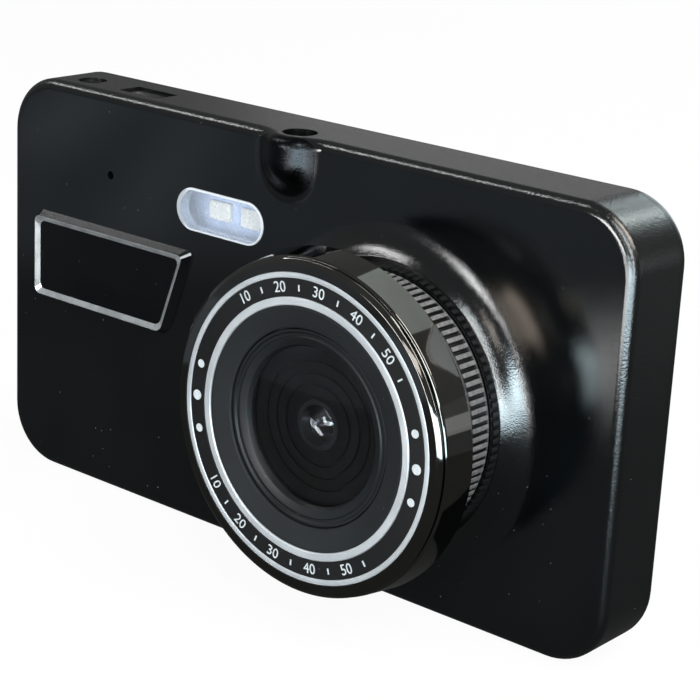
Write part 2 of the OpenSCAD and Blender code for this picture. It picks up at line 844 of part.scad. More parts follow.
module microphone() {
    color("#b0b4b8") at_face() translate([mic_x, wall + fit, -mic_d]) difference() {
        upright(mic_r, mic_t);
        translate([0, -cut, 0]) upright(mic_r / 2, cut + mic_t / 4);
    }
}

module usb_shell() {
    color("#c4c8cc") at_face() translate([port_x, port_top_z - port_l, -port_d]) rotate([-90, 0, 0])
        difference() {
            linear_extrude(port_l) square([port_w, port_t], center = true);
            translate([0, 0, port_wall]) linear_extrude(port_l)
                square([port_w - 2 * port_wall, port_t - 2 * port_wall], center = true);
        }
}

module usb_tongue() {
    base = [port_w, port_t] - 2 * (port_wall + fit) * [1, 1];
    color("#17181a") at_face() translate([port_x, port_top_z - port_l + port_wall, -port_d])
        rotate([-90, 0, 0]) {
            linear_extrude(port_tongue_back) square(base, center = true);
            linear_extrude(port_l - port_wall - port_tongue_back) square(port_tongue, center = true);
        }
}

module av_jack() {
    body_top_z = body_h - wall - slip;
    color("#1b1b1d") at_face() difference() {
        union() {
            translate([jack_x - jack_w / 2, body_top_z - jack_l, -board_d]) cube([jack_w, jack_l, jack_t]);
            translate([jack_x, body_top_z - cut, -jack_d])
                upright(jack_nose_r, jack_top_z - body_top_z + cut);
        }
        translate([jack_x, jack_top_z - jack_bore_l, -jack_d]) upright(jack_bore_r, jack_bore_l + cut);
    }
}

module card_socket() {
    in_x = card_out_x + card_l + card_push + 2 * slip;
    left = in_x + card_socket_side - card_socket_l;
    half = card_w / 2 + slip;
    rise = board_d - card_back_d + card_t + slip + card_socket_wall;
    color("#bfc3c7") at_face() difference() {
        translate([left, card_z - half - card_socket_side, -board_d])
            cube([card_socket_l, 2 * (half + card_socket_side), rise]);
        translate([left - cut, card_z - half, -card_back_d - slip])
            cube([in_x - left + cut, 2 * half, card_t + 2 * slip]);
    }
}

module memory_card() {
    color("#202226") at_face() translate([card_out_x, card_z - card_w / 2, -card_back_d])
        linear_extrude(card_t) polygon([
            [0, 0], [card_l, 0], [card_l, card_w - 2 * card_notch],
            [card_l * 0.57, card_w - card_notch], [card_l * 0.5, card_w], [0, card_w]
        ]);
}

module key_switches() {
    color("#3a3d42") at_face() for (sx = [-1, 1], k = [-1, 0, 1])
        translate([sx * key_x, mid_z + k * key_pitch, -board_back_d - switch_t])
            linear_extrude(switch_t) square([switch_w, switch_l], center = true);
}

// One key: cap through the back cover, flange behind it and a stem towards its switch
module key(side, row) {
    color("#1a1c1f") at_face() translate([side * key_x, mid_z + row * key_pitch, 0]) {
        rotate([0, 0, 90]) {
            deep(body_t + key_proud) linear_extrude(body_t + key_proud - key_seat_d + key_flange_t)
                stadium(key_l, key_w);
            deep(key_seat_d) linear_extrude(key_flange_t)
                stadium(key_l + 2 * key_flange, key_w + 2 * key_flange);
        }
        deep(key_seat_d) cylinder(r = key_stem_r, h = key_seat_d - key_stem_end_d);
    }
}

module power_key() {
    key(1, 1);
}

module menu_key() {
    key(1, 0);
}

module mode_key() {
    key(1, -1);
}

module up_key() {
    key(-1, 1);
}

module ok_key() {
    key(-1, 0);
}

module down_key() {
    key(-1, -1);
}

module reset_switch() {
    color("#c9ccd0") at_face() translate([reset_x, reset_z, -board_d])
        linear_extrude(reset_switch_t) square(reset_switch_w, center = true);
}

module reset_plunger() {
    color("#0d0e10") at_face() translate([reset_x, reset_z, -reset_pin_end_d])
        cylinder(r = reset_pin_r, h = reset_pin_end_d - wall - seat);
}

module led_board() {
    color("#e6e6e2") at_face() translate([light_x, light_z, -led_board_d - led_board_t])
        linear_extrude(led_board_t) difference() {
            square([2 * (led_post_x + led_board_margin), light_w + 2 * led_board_over], center = true);
            for (s = [-1, 1]) translate([s * led_post_x, 0]) circle(led_stake_r + fit);
        }
}

module led_chips() {
    color("#fff6d8") at_face() for (s = [-1, 1])
        translate([light_x + s * led_spread, light_z, -led_board_d])
            linear_extrude(led_t) square(led_size, center = true);
}

module led_pins() {
    color("#d0b060") at_face() for (k = [-1, 0, 1])
        translate([light_x + k * led_pin_pitch, light_z, -board_d])
            cylinder(r = led_pin_r, h = board_d - led_board_d - led_board_t);
}

module light_window() {
    back_d = wall + seat;
    color("#b8c2dc") at_face() translate([light_x, light_z, 0]) {
        deep(back_d) linear_extrude(back_d + light_proud) stadium(light_l, light_w);
        deep(back_d + light_flange_t) linear_extrude(light_flange_t)
            stadium(light_l + 2 * light_flange, light_w + 2 * light_flange);
    }
}

// One thin slice of the name plate at a height above the front plate
module badge_slice(h, corners, r) {
    translate([0, 0, h]) linear_extrude(badge_layer) rounded_outline(corners, r, $fn = badge_fn);
}

// Frame of the name plate: its sides slope in, and a bevel slopes down to the panel
module badge_frame() {
    color("#aab0b4") at_face() difference() {
        hull() {
            badge_slice(0, badge_corners, badge_corner_r);
            badge_slice(badge_h - badge_layer, badge_rim, badge_rim_r);
        }
        translate([0, 0, -cut]) linear_extrude(badge_h + 2 * cut)
            rounded_outline(badge_inner, badge_rim_r);
        hull() {
            badge_slice(panel_face_h, badge_inner, badge_rim_r);
            badge_slice(badge_h, inset(badge_rim, badge_land), badge_rim_r - badge_land);
        }
    }
}

module badge_panel() {
    color("#0c0e10") at_face() linear_extrude(panel_face_h)
        rounded_outline(inset(badge_inner, fit), badge_rim_r);
}

module bracket_insert() {
    color("#b8973a") at_face() translate([0, insert_low_z, -socket_d]) rotate([-90, 0, 0])
        ring(insert_r, socket_r, insert_l);
}

// Section of the lens barrel: neck, hollow flare, spigot and the seats of the front pieces
module barrel_section() {
    flare_a = [flare_back_r, shoulder_h];
    flare_b = [flare_front_r, flare_end_h];
    wall_r = retainer_r + fit;
    translate([neck_bore_r, sink]) square([neck_r - neck_bore_r, shoulder_h - sink]);
    translate([neck_bore_r, shoulder_h]) square([flare_back_r - neck_bore_r, web_t]);
    difference() {
        translate([core_r, shoulder_h]) square([flare_front_r - core_r, flare_end_h - shoulder_h]);
        translate(arc_centre(flare_a, flare_b, flare_arc_r)) circle(flare_arc_r);
    }
    translate([core_r, flare_end_h]) square([spigot_r - core_r, cone_seat_h - flare_end_h]);
    translate([shelf_r, shelf_h - shelf_t]) square([core_r - shelf_r, shelf_t]);
    translate([wall_r, shelf_h]) square([core_r - wall_r, cone_seat_h - shelf_h]);
    translate([trim_in_r, cone_seat_h]) square([spigot_r - trim_in_r, face_h - cone_seat_h]);
}

module lens_barrel() {
    neck_t = neck_r - neck_bore_r;
    color("#101214") at_lens() difference() {
        rotate_extrude() barrel_section();
        for (a = dog_angles) {
            rotate([0, 0, a - dog_slot_turn]) rotate_extrude(angle = 2 * dog_slot_turn)
                translate([neck_bore_r - cut, dog_h - dog_t / 2 - head_gap])
                    square([neck_t + 2 * cut, dog_t + 2 * head_gap]);
            rotate([0, 0, a]) translate([neck_bore_r - cut, -dog_w / 2 - head_gap, -cut])
                cube([neck_t + 2 * cut, dog_w + 2 * head_gap, dog_h + cut]);
            rotate([0, 0, a + 60]) translate([barrel_screw_pcr, 0, -cut])
                cylinder(r = barrel_screw_r + fit, h = cut + barrel_screw_l - wall + tip_gap);
        }
    }
}

// Focus ring: straight ridges between two plain rims, with three dogs that drive the lens cell
module focus_ring() {
    step = 360 / knurl_count;
    root_r = knurl_r - knurl_depth;
    rim_r = knurl_r - knurl_depth / 2;
    ridge = [[0, root_r], [groove_share, root_r], [groove_share + slope_share, knurl_r],
        [1 - slope_share, knurl_r]];
    color("#15181a") at_lens() {
        difference() {
            union() {
                translate([0, 0, ring_back_h]) cylinder(r = rim_r, h = ring_rim);
                translate([0, 0, ring_front_h - ring_rim]) cylinder(r = rim_r, h = ring_rim);
                translate([0, 0, ring_back_h + ring_rim]) linear_extrude(ring_l - 2 * ring_rim)
                    polygon([
                        for (i = [0 : knurl_count - 1], k = ridge)
                            k[1] * [cos((i + k[0]) * step), sin((i + k[0]) * step)]
                    ]);
            }
            translate([0, 0, ring_back_h - cut]) cylinder(r = neck_r + fit, h = ring_l + 2 * cut);
        }
        for (a = dog_angles) rotate([0, 0, a]) translate([dog_reach_r, -dog_w / 2, dog_h - dog_t / 2])
            cube([neck_r + dog_root - dog_reach_r, dog_w, dog_t]);
    }
}

// Section of a band of the bezel with two rounded corners
module band_section(r, run) {
    soft = bezel_soft;
    bore_r = spigot_r + fit;
    translate([bore_r, 0]) square([r - soft - bore_r, run]);
    translate([bore_r, soft]) square([r - bore_r, run - 2 * soft]);
    for (h = [soft, run - soft]) translate([r - soft, h]) circle(soft);
}

// Section of the bezel: a drum and a narrower front band, with a groove between their round edges
module bezel_section() {
    translate([0, bezel_back_h]) band_section(bezel_r, bezel_l - band_l);
    translate([0, head_h - band_l]) band_section(bezel_front_r, band_l);
}

module bezel_ring() {
    color("#4a4038") at_lens() rotate_extrude() bezel_section();
}

module outer_trim_ring() {
    color("#c8cccf") at_lens() translate([0, 0, face_h]) ring(spigot_r, dial_out_r, dial_t + trim_proud);
}

module dial_ring() {
    color("#0f1113") at_lens() translate([0, 0, face_h]) ring(dial_out_r - fit, dial_in_r + fit, dial_t);
}

module inner_trim_ring() {
    color("#c8cccf") at_lens() translate([0, 0, face_h]) ring(dial_in_r, trim_in_r, dial_t + trim_proud);
}

module inner_cone() {
    out_r = trim_in_r - fit;
    color("#1c1f21") at_lens() rotate_extrude() polygon([
        [cone_in_r, cone_seat_h], [out_r, cone_seat_h],
        [out_r, face_h + dial_t - 2 * trim_proud], [cone_in_r, face_h + cone_low]
    ]);
}

// Printed marks of the dial: three dots on each side and a row of strokes above and below
module dial_marks() {
    color("#e4e8ea") at_lens() translate([0, 0, face_h + dial_t]) {
        for (side = [0, 180], k = [-1, 0, 1]) rotate([0, 0, side + dot_step * k])
            translate([dot_pcr, 0, 0]) cylinder(r = dot_r[abs(k)], h = ink_t);
        for (side = [90, 270], k = [-stroke_rows : stroke_rows]) rotate([0, 0, side + stroke_step * k])
            translate([dial_in_r + stroke_inset, -stroke_w / 2, 0])
                cube([stroke_l[abs(k) % 2], stroke_w, ink_t]);
    }
}

module lens_retainer() {
    color("#26292b") at_lens() translate([0, 0, glass_edge_h]) ring(retainer_r, glass_view_r, retainer_h);
}

// Front glass: flat back, plain edge under the retainer and a shallow crown
module front_glass() {
    crown_r = (glass_view_r * glass_view_r + glass_rise * glass_rise) / (2 * glass_rise);
    color("#10141a") at_lens() rotate_extrude() {
        translate([0, glass_back_h]) square([glass_r, glass_edge_t]);
        intersection() {
            translate([0, glass_edge_h - crown_r + glass_rise]) circle(crown_r, $fn = 360);
            translate([0, glass_back_h]) square([glass_view_r - fit, glass_edge_t + 2 * glass_rise]);
        }
    }
}

module glass_seal() {
    color("#0b0b0c") at_lens() translate([0, 0, glass_back_h - seal_t])
        ring(retainer_r - fit, glass_view_r + seal_open, seal_t);
}

module lens_baffle() {
    color("#0a0b0c") at_lens() translate([0, 0, shelf_h]) difference() {
        ring(retainer_r - fit, pupil_r + fit, baffle_t);
        for (r = baffle_grooves) translate([0, 0, baffle_t - baffle_groove_d])
            ring(r + baffle_groove_w, r, cut);
    }
}

// Lens cell: threaded tail, flange with notches for the dogs, body and nose, bored for the glass
module lens_cell() {
    color("#181a1c") at_lens() difference() {
        union() {
            translate([0, 0, cell_back_h]) cylinder(r = cell_thread_r, h = cell_flange_h - cell_back_h);
            translate([0, 0, cell_flange_h]) {
                cylinder(r = cell_flange_r, h = cell_flange_t);
                cylinder(r = cell_body_r, h = cell_shoulder_h - cell_flange_h);
            }
            translate([0, 0, cell_shoulder_h]) cylinder(r = pupil_r, h = cell_nose_h - cell_shoulder_h);
        }
        translate([0, 0, cell_back_h - cut])
            cylinder(r = cell_thread_r - cell_wall, h = cell_shoulder_h - cell_back_h - cell_wall + cut);
        translate([0, 0, cell_back_h])
            cylinder(r = pupil_r - nose_wall, h = cell_nose_h - cell_back_h + cut);
        for (a = dog_angles) rotate([0, 0, a])
            translate([dog_reach_r - slip, -dog_w / 2 - fit, cell_flange_h - cut])
                cube([cell_flange_r, dog_w + 2 * fit, cell_flange_t + 2 * cut]);
    }
}

// Front lens: a plain edge in the nose of the cell and a strong crown
module front_element() {
    lens_r = pupil_r - nose_wall - fit;
    drop = sqrt(element_dome_r * element_dome_r - lens_r * lens_r);
    color("#39445a") at_lens() translate([0, 0, cell_nose_h - element_inset]) rotate_extrude() {
        translate([0, -element_edge_t]) square([lens_r, element_edge_t]);
        intersection() {
            translate([0, -drop]) circle(element_dome_r);
            translate([0, -element_edge_t]) square([lens_r, element_edge_t + element_dome_r]);
        }
    }
}

module rear_element() {
    color("#2e3a4c") at_lens() translate([0, 0, cell_back_h + rear_inset])
        cylinder(r = cell_thread_r - cell_wall - fit, h = rear_t);
}

module lens_holder() {
    roof_h = holder_base_t - holder_roof;
    color("#1d1f21") at_lens() translate([0, 0, -board_d]) difference() {
        union() {
            linear_extrude(holder_base_t) square(holder_base, center = true);
            for (s = [-1, 1])
                translate([s * holder_ear_x, 0, 0]) cylinder(r = holder_ear_r, h = holder_base_t);
            cylinder(r = holder_tube_r, h = board_d + holder_top_h);
        }
        translate([0, 0, roof_h]) cylinder(r = cell_thread_r + fit, h = board_d + holder_top_h);
        translate([0, 0, -cut]) {
            linear_extrude(roof_h + cut) square(filter_w + 2 * slip, center = true);
            for (s = [-1, 1]) translate([s * holder_ear_x, 0, 0])
                cylinder(r = holder_screw_r + fit, h = cut + holder_screw_l - board_t + tip_gap);
        }
    }
}

module ir_filter() {
    color("#c83c3c") at_lens() translate([0, 0, holder_base_t - holder_roof - filter_t - board_d])
        linear_extrude(filter_t) square(filter_w, center = true);
}

module image_sensor() {
    color("#46508a") at_lens() translate([0, 0, -board_d])
        linear_extrude(sensor_t) square(sensor_size, center = true);
}

// A low headed screw that points towards the viewer, head under z = 0
module screw(shank_r, shank_l, head_r, head_h) {
    slot = [head_r * 1.1, head_r * 0.28, head_h * 0.9];
    cylinder(r = shank_r, h = shank_l);
    translate([0, 0, -head_h]) difference() {
        cylinder(r = head_r, h = head_h);
        for (a = [0, 90]) rotate([0, 0, a]) cube(slot, center = true);
    }
}

module case_screws() {
    head_d = body_t - case_head_h;
    shank_l = head_d - seam_d + case_hole_l - tip_gap;
    color("#3c4044") at_face() for (p = case_posts)
        translate([p[0], p[1], -head_d]) screw(case_screw_r, shank_l, case_head_r, case_head_h - slip);
}

module board_screws() {
    shank_l = board_t + board_hole_l - tip_gap;
    color("#c0c4c8") at_face() for (p = board_posts)
        translate([p[0], p[1], -board_back_d]) screw(board_screw_r, shank_l, board_head_r, screw_head_h);
}

module barrel_screws() {
    color("#c0c4c8") at_lens() for (a = dog_angles) rotate([0, 0, a + 60])
        translate([barrel_screw_pcr, 0, -wall])
            screw(barrel_screw_r, barrel_screw_l, barrel_head_r, barrel_head_h);
}

module holder_screws() {
    color("#c0c4c8") at_lens() for (s = [-1, 1]) translate([s * holder_ear_x, 0, -board_back_d])
        screw(holder_screw_r, holder_screw_l, board_head_r, screw_head_h);
}

front_housing();
rear_cover();
screen_window();
screen_gasket();
lcd_panel();
lcd_frame();
lcd_ribbon();
ribbon_socket();
main_board();
board_chips();
shield_can();
battery();
battery_pad();
battery_leads();
speaker();
microphone();
usb_shell();
usb_tongue();
av_jack();
card_socket();
memory_card();
key_switches();
power_key();
menu_key();
mode_key();
up_key();
ok_key();
down_key();
reset_switch();
reset_plunger();
led_board();
led_chips();
led_pins();
light_window();
badge_frame();
badge_panel();
bracket_insert();
lens_barrel();
focus_ring();
bezel_ring();
outer_trim_ring();
dial_ring();
inner_trim_ring();
inner_cone();
dial_marks();
lens_retainer();
front_glass();
glass_seal();
lens_baffle();
lens_cell();
front_element();
rear_element();
lens_holder();
ir_filter();
image_sensor();
case_screws();
board_screws();
barrel_screws();
holder_screws();
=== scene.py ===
"""Dash camera: smooth shells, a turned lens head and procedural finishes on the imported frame."""
import logging
import math
from dataclasses import dataclass, field
from enum import Enum
from typing import Any, Callable, ClassVar, Iterable, Sequence

import bmesh
import bpy
from mathutils import Matrix, Vector


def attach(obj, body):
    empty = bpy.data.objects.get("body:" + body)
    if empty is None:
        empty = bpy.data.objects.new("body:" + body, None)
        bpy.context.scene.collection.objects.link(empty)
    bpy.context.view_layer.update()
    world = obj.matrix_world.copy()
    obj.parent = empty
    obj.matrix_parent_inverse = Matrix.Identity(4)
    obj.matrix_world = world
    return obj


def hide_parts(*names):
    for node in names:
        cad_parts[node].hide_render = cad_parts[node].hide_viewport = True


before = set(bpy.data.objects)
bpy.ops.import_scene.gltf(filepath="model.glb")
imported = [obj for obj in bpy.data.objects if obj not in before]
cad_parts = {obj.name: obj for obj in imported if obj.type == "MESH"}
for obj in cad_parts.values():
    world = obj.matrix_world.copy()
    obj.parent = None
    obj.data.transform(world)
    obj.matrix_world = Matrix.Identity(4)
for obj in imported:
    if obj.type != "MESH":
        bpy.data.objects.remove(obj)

LOG = logging.getLogger("dash_camera")
MM = 0.001
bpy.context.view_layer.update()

Point = tuple[float, float]
Triple = tuple[float, float, float]
Colour = Triple
Socket = bpy.types.NodeSocket
Shape = bmesh.types.BMesh

# Places and sizes in millimetres that more than one class uses. A rounding that is a hair short
# of half the width keeps the ends of a slot apart.
PLATE = 2.575
LENS_AXIS: Point = (19.5, 27.9)
COVER_CENTRE: Point = (-12.2, 46.35)
COVER_SIZE: Point = (16.4, 6.1)
COVER_PROUD = 0.15
HAIR = 0.002

# Octaves of the noises.
EVEN, PLAIN, CLOUDY = 1.0, 2.0, 3.0

# Sockets of the Mix node that take and give colours.
MIX_FACTOR, MIX_LOW, MIX_HIGH, MIX_RESULT = 0, 6, 7, 2


class Body(Enum):
    """The bodies that more than one piece rides on."""

    CASE = "case"
    FOCUS = "focus"


class Edge(Enum):
    """How crisp the edges of a piece are: the angle past which an edge stays sharp."""

    SOFT = math.radians(38)
    CRISP = math.radians(24)


# Shader maths


def joined(operation: str, swapped: bool = False) -> Callable[..., "Value"]:
    """A method of Value that adds a Math node.

    Args:
        operation: Blender's name of the operation.
        swapped: Whether the other number comes first.

    Returns:
        The method.
    """
    def method(self: "Value", other: "Value | float" = 0.0) -> "Value":
        """Join this number with another one."""
        return self.graph.maths(operation, *((other, self) if swapped else (self, other)))
    return method


class Value:
    """A number in a shader, whose operators add Math nodes."""

    __add__, __radd__ = joined("ADD"), joined("ADD", True)
    __sub__, __rsub__ = joined("SUBTRACT"), joined("SUBTRACT", True)
    __mul__, __rmul__ = joined("MULTIPLY"), joined("MULTIPLY", True)
    __truediv__, __pow__ = joined("DIVIDE"), joined("POWER")
    __abs__, __neg__ = joined("ABSOLUTE"), joined("SUBTRACT", True)
    most, sine = joined("MAXIMUM"), joined("SINE")

    def __init__(self, graph: "Graph", socket: Socket) -> None:
        """Wrap one output socket of a graph."""
        self.graph = graph
        self.socket = socket

    def above(self, low: float, high: float) -> "Value":
        """Rise smoothly from 0 at low to 1 at high."""
        return self.graph.number("ShaderNodeMapRange",
                                 {"Value": self, "From Min": low, "From Max": high},
                                 interpolation_type="SMOOTHSTEP")

    def below(self, low: float, high: float) -> "Value":
        """Fall smoothly from 1 at low to 0 at high."""
        return 1.0 - self.above(low, high)


class Graph:
    """The nodes of one material, floor or world."""

    def __init__(self, tree: bpy.types.NodeTree) -> None:
        """Start with an empty tree."""
        self.tree = tree
        tree.nodes.clear()
        self._place: Socket | None = None

    def node(self, kind: str, sockets: dict[str | int, Any] | None = None,
             **settings: Any) -> bpy.types.Node:
        """Add a node.

        Args:
            kind: Blender's node type.
            sockets: Values or links, by the name or the number of the input.
            settings: The node's own settings, set first.

        Returns:
            The new node.
        """
        made = self.tree.nodes.new(kind)
        for key, setting in settings.items():
            setattr(made, key, setting)
        for key, given in (sockets or {}).items():
            if isinstance(given, Value):
                given = given.socket
            if isinstance(given, Socket):
                self.tree.links.new(given, made.inputs[key])
            else:
                made.inputs[key].default_value = given
        return made

    def number(self, kind: str, sockets: dict[str | int, Any], **settings: Any) -> Value:
        """Add a node whose first output is a number."""
        return Value(self, self.node(kind, sockets, **settings).outputs[0])

    def maths(self, operation: str, first: Value | float, second: Value | float) -> Value:
        """Join two numbers with a Math node."""
        return self.number("ShaderNodeMath", {0: first, 1: second}, operation=operation)

    def place(self) -> Socket:
        """Object coordinates in millimetres, as a vector socket."""
        if self._place is None:
            coordinates = self.node("ShaderNodeTexCoord")
            scaled = self.node("ShaderNodeVectorMath", operation="SCALE", sockets={
                0: coordinates.outputs["Object"], "Scale": 1 / MM})
            self._place = scaled.outputs[0]
        return self._place

    def xyz(self, centre: Triple = (0.0, 0.0, 0.0)) -> tuple[Value, Value, Value]:
        """The three object coordinates in millimetres, measured from a centre."""
        moved = self.node("ShaderNodeVectorMath", {0: self.place(), 1: centre},
                          operation="SUBTRACT")
        split = self.node("ShaderNodeSeparateXYZ", {0: moved.outputs[0]})
        return tuple(Value(self, out) for out in split.outputs)

    def radius(self, axis: Point) -> Value:
        """Distance in millimetres from an axis along Y."""
        across, _, up = self.xyz((axis[0], 0.0, axis[1]))
        return (across * across + up * up) ** 0.5

    def noise(self, size: float, detail: float = PLAIN,
              stretch: Triple = (1.0, 1.0, 1.0)) -> Value:
        """Noise on the object.

        Args:
            size: Size of a grain in millimetres.
            detail: Octaves of finer grain.
            stretch: Factors on the three axes, smaller for longer grains.

        Returns:
            The noise, from 0 to 1 round 0.5.
        """
        where = self.place()
        if stretch != (1.0, 1.0, 1.0):
            where = self.node("ShaderNodeMapping", {"Vector": where, "Scale": stretch}).outputs[0]
        return self.number("ShaderNodeTexNoise",
                           {"Vector": where, "Scale": 1 / size, "Detail": detail})

    def cells(self, size: float) -> Value:
        """Distance to the nearest of scattered points, in grains of the size in millimetres."""
        return self.number("ShaderNodeTexVoronoi", {"Vector": self.place(), "Scale": 1 / size})

    def ring_noise(self, axis: Point, size: float) -> Value:
        """Noise that runs round an axis along Y, as a turning tool leaves it."""
        return self.number("ShaderNodeTexNoise", {"W": self.radius(axis) / size, "Detail": PLAIN},
                           noise_dimensions="1D")

    def blend(self, mask: Value, low: Colour | Socket, high: Colour | Socket) -> Socket:
        """Blend two colours, from the low one where a mask is 0 to the high one where it is 1."""
        low, high = ((*c, 1.0) if isinstance(c, tuple) else c for c in (low, high))
        made = self.node("ShaderNodeMix", {MIX_FACTOR: mask, MIX_LOW: low, MIX_HIGH: high},
                         data_type="RGBA", clamp_factor=True)
        return made.outputs[MIX_RESULT]

    def bump(self, height: Value, depth: float, strength: float = 1.0) -> Socket:
        """A normal that is bent by a height.

        Args:
            height: The height, from 0 to 1.
            depth: What a height of 1 is, in millimetres.
            strength: Share of the effect that is used.

        Returns:
            The bent normal.
        """
        return self.node("ShaderNodeBump", {"Strength": strength, "Distance": depth * MM,
                                            "Height": height}).outputs[0]

    def mix_shaders(self, share: Value | float, first: bpy.types.Node,
                    second: bpy.types.Node) -> bpy.types.Node:
        """Mix two shaders, by the share of the second."""
        return self.node("ShaderNodeMixShader",
                         {0: share, 1: first.outputs[0], 2: second.outputs[0]})

    def surface(self, sockets: dict[str, Any]) -> None:
        """Finish a material with one Principled shader."""
        shader = self.node("ShaderNodeBsdfPrincipled", sockets)
        self.node("ShaderNodeOutputMaterial", {"Surface": shader.outputs[0]})


# Finishes


@dataclass(frozen=True)
class Finish:
    """A finish of the object, made once and shared by its pieces.

    Sizes are in millimetres. A pair of numbers holds the two values of a noise, a depth or a
    distance between which one look goes over into the next. Only the shades are shares of the
    colour, and matt holds the least roughness and what a noise adds to it.
    """

    name: str
    colour: Colour
    spread: ClassVar[Point] = (0.35, 0.7)
    shades: ClassVar[Point] = (1.0, 1.0)
    matt: ClassVar[Point] = (0.3, 0.15)

    def material(self) -> bpy.types.Material:
        """The finish as a material, made on first use."""
        made = bpy.data.materials.get(self.name)
        if made is None:
            made = bpy.data.materials.new(self.name)
            made.use_nodes = True
            self.paint(Graph(made.node_tree))
        return made

    def paint(self, graph: Graph) -> None:
        """Add the finish's nodes to an empty graph."""
        raise NotImplementedError

    def darker(self, share: float) -> Colour:
        """The finish's colour times a share."""
        return tuple(c * share for c in self.colour)

    def shade(self, graph: Graph, noise: Value) -> Socket:
        """The colour, going from its first shade to its second with a noise."""
        return graph.blend(noise.above(*self.spread), *(self.darker(s) for s in self.shades))

    def roughness(self, noise: Value) -> Value:
        """The least roughness and what a noise adds to it."""
        least, more = self.matt
        return least + more * noise


@dataclass(frozen=True)
class MouldedPlastic(Finish):
    """Plastic with a moulded grain, uneven gloss and a little dust."""

    rough: float = 0.3
    gloss: float = 0.3
    grain: float = 0.25
    depth: float = 0.006
    dust: float = 0.0
    shades: ClassVar[Point] = (0.82, 1.2)
    patch: ClassVar[float] = 14.0
    matt: ClassVar[Point] = (0.8, 0.4)
    dust_colour: ClassVar[Colour] = (0.22, 0.24, 0.25)
    speck: ClassVar[float] = 1.7
    speck_edge: ClassVar[Point] = (0.03, 0.06)
    cluster: ClassVar[float] = 9.0
    cluster_edge: ClassVar[Point] = (0.48, 0.6)

    def paint(self, graph: Graph) -> None:
        """Add the grain, the uneven gloss and the dust."""
        broad = graph.noise(self.patch)
        graph.surface({
            "Base Color": self.tint(graph, broad),
            "Roughness": self.rough * self.roughness(broad),
            "Specular IOR Level": self.gloss,
            "Normal": graph.bump(graph.noise(self.grain), self.depth),
        })

    def tint(self, graph: Graph, broad: Value) -> Socket:
        """The colour, uneven by a broad noise, with specks of dust."""
        colour = self.shade(graph, broad)
        if self.dust:
            specks = graph.cells(self.speck).below(*self.speck_edge)
            specks = specks * graph.noise(self.cluster, EVEN).above(*self.cluster_edge)
            colour = graph.blend(specks * self.dust, colour, self.dust_colour)
        return colour


class ShellPlastic(MouldedPlastic):
    """Plastic of the front shell: polished plate, satin collar, grained sides, bump in painted
    shade.
    """

    collar_edge: Point = (24.0, 24.8)
    satin: float = 0.13
    satin_grain: float = 0.4
    side_depth: Point = (0.04, 0.3)
    bump_depth: Point = (-0.3, -0.06)
    bump_side: Point = (6.5, 7.0)
    bump_low: float = 49.5
    bump_foot: Point = (-0.6, 0.6)
    # The bump's dark metal colour is a painted shade that dims its highlight.
    bump_painted_shade: Colour = (0.022, 0.024, 0.026)
    dull: float = 0.2
    dull_grain: float = 0.3
    dull_depth: float = 0.04

    def paint(self, graph: Graph) -> None:
        """Add the polish, the grain and the dust."""
        across, deep, up = graph.xyz((0.0, PLATE, self.bump_low))
        bump = (deep.below(*self.bump_depth) * abs(across).below(*self.bump_side)
                * up.above(*self.bump_foot))
        collar = graph.radius(LENS_AXIS).below(*self.collar_edge)
        grained = deep.above(*self.side_depth).most(bump)
        added = (grained * (self.dull - self.rough)).most(collar * (self.satin - self.rough))
        fine = graph.noise(self.grain) * (self.depth / self.dull_depth)
        coarse = graph.noise(self.dull_grain) * grained.most(collar * self.satin_grain)
        tint = self.tint(graph, graph.noise(self.patch))
        graph.surface({
            # Painted shade: the bump takes a dark metal colour that dims its highlight.
            "Base Color": graph.blend(bump, tint, self.bump_painted_shade),
            "Metallic": bump,
            "Roughness": self.rough + added,
            "Specular IOR Level": self.gloss,
            "Normal": graph.bump(fine + coarse, self.dull_depth),
        })


@dataclass(frozen=True)
class TurnedMetal(Finish):
    """Metal or plating with the fine lines of a turning tool round the lens axis."""

    rough: float = 0.2
    lines: float = 0.08
    depth: float = 0.0008
    metal: float = 1.0
    spread: ClassVar[Point] = (0.3, 0.75)
    shades: ClassVar[Point] = (0.86, 1.0)
    matt: ClassVar[Point] = (0.7, 0.35)
    smear: ClassVar[float] = 6.0

    def paint(self, graph: Graph) -> None:
        """Add the turned lines to the gloss and the colour."""
        turned = graph.ring_noise(LENS_AXIS, self.lines)
        smear = graph.noise(self.smear, CLOUDY)
        graph.surface({
            "Base Color": self.shade(graph, smear),
            "Metallic": self.metal,
            "Roughness": self.rough * self.roughness(turned + smear),
            "Normal": graph.bump(turned, self.depth),
        })


class GripPlastic(Finish):
    """Plastic of a ridged ring: pale on its ridges as a painted highlight, uneven by wear, black
    in the grooves.
    """

    spread: Point = (0.3, 0.7)
    shades: Point = (0.6, 1.0)
    ridge_highlight: Point = (17.9, 18.15)
    groove: Colour = (0.003, 0.003, 0.0034)
    wear: float = 0.7
    depth: float = 0.01

    def paint(self, graph: Graph) -> None:
        """Add the grooves and the pale ridges, a painted highlight made uneven by wear."""
        # The pale colour of the ridges is a painted highlight; the grooves keep the black.
        ridge_highlight = graph.radius(LENS_AXIS).above(*self.ridge_highlight)
        wear = graph.noise(self.wear, CLOUDY)
        graph.surface({
            "Base Color": graph.blend(ridge_highlight, self.groove, self.shade(graph, wear)),
            "Roughness": self.roughness(wear),
            "Normal": graph.bump(wear, self.depth),
        })


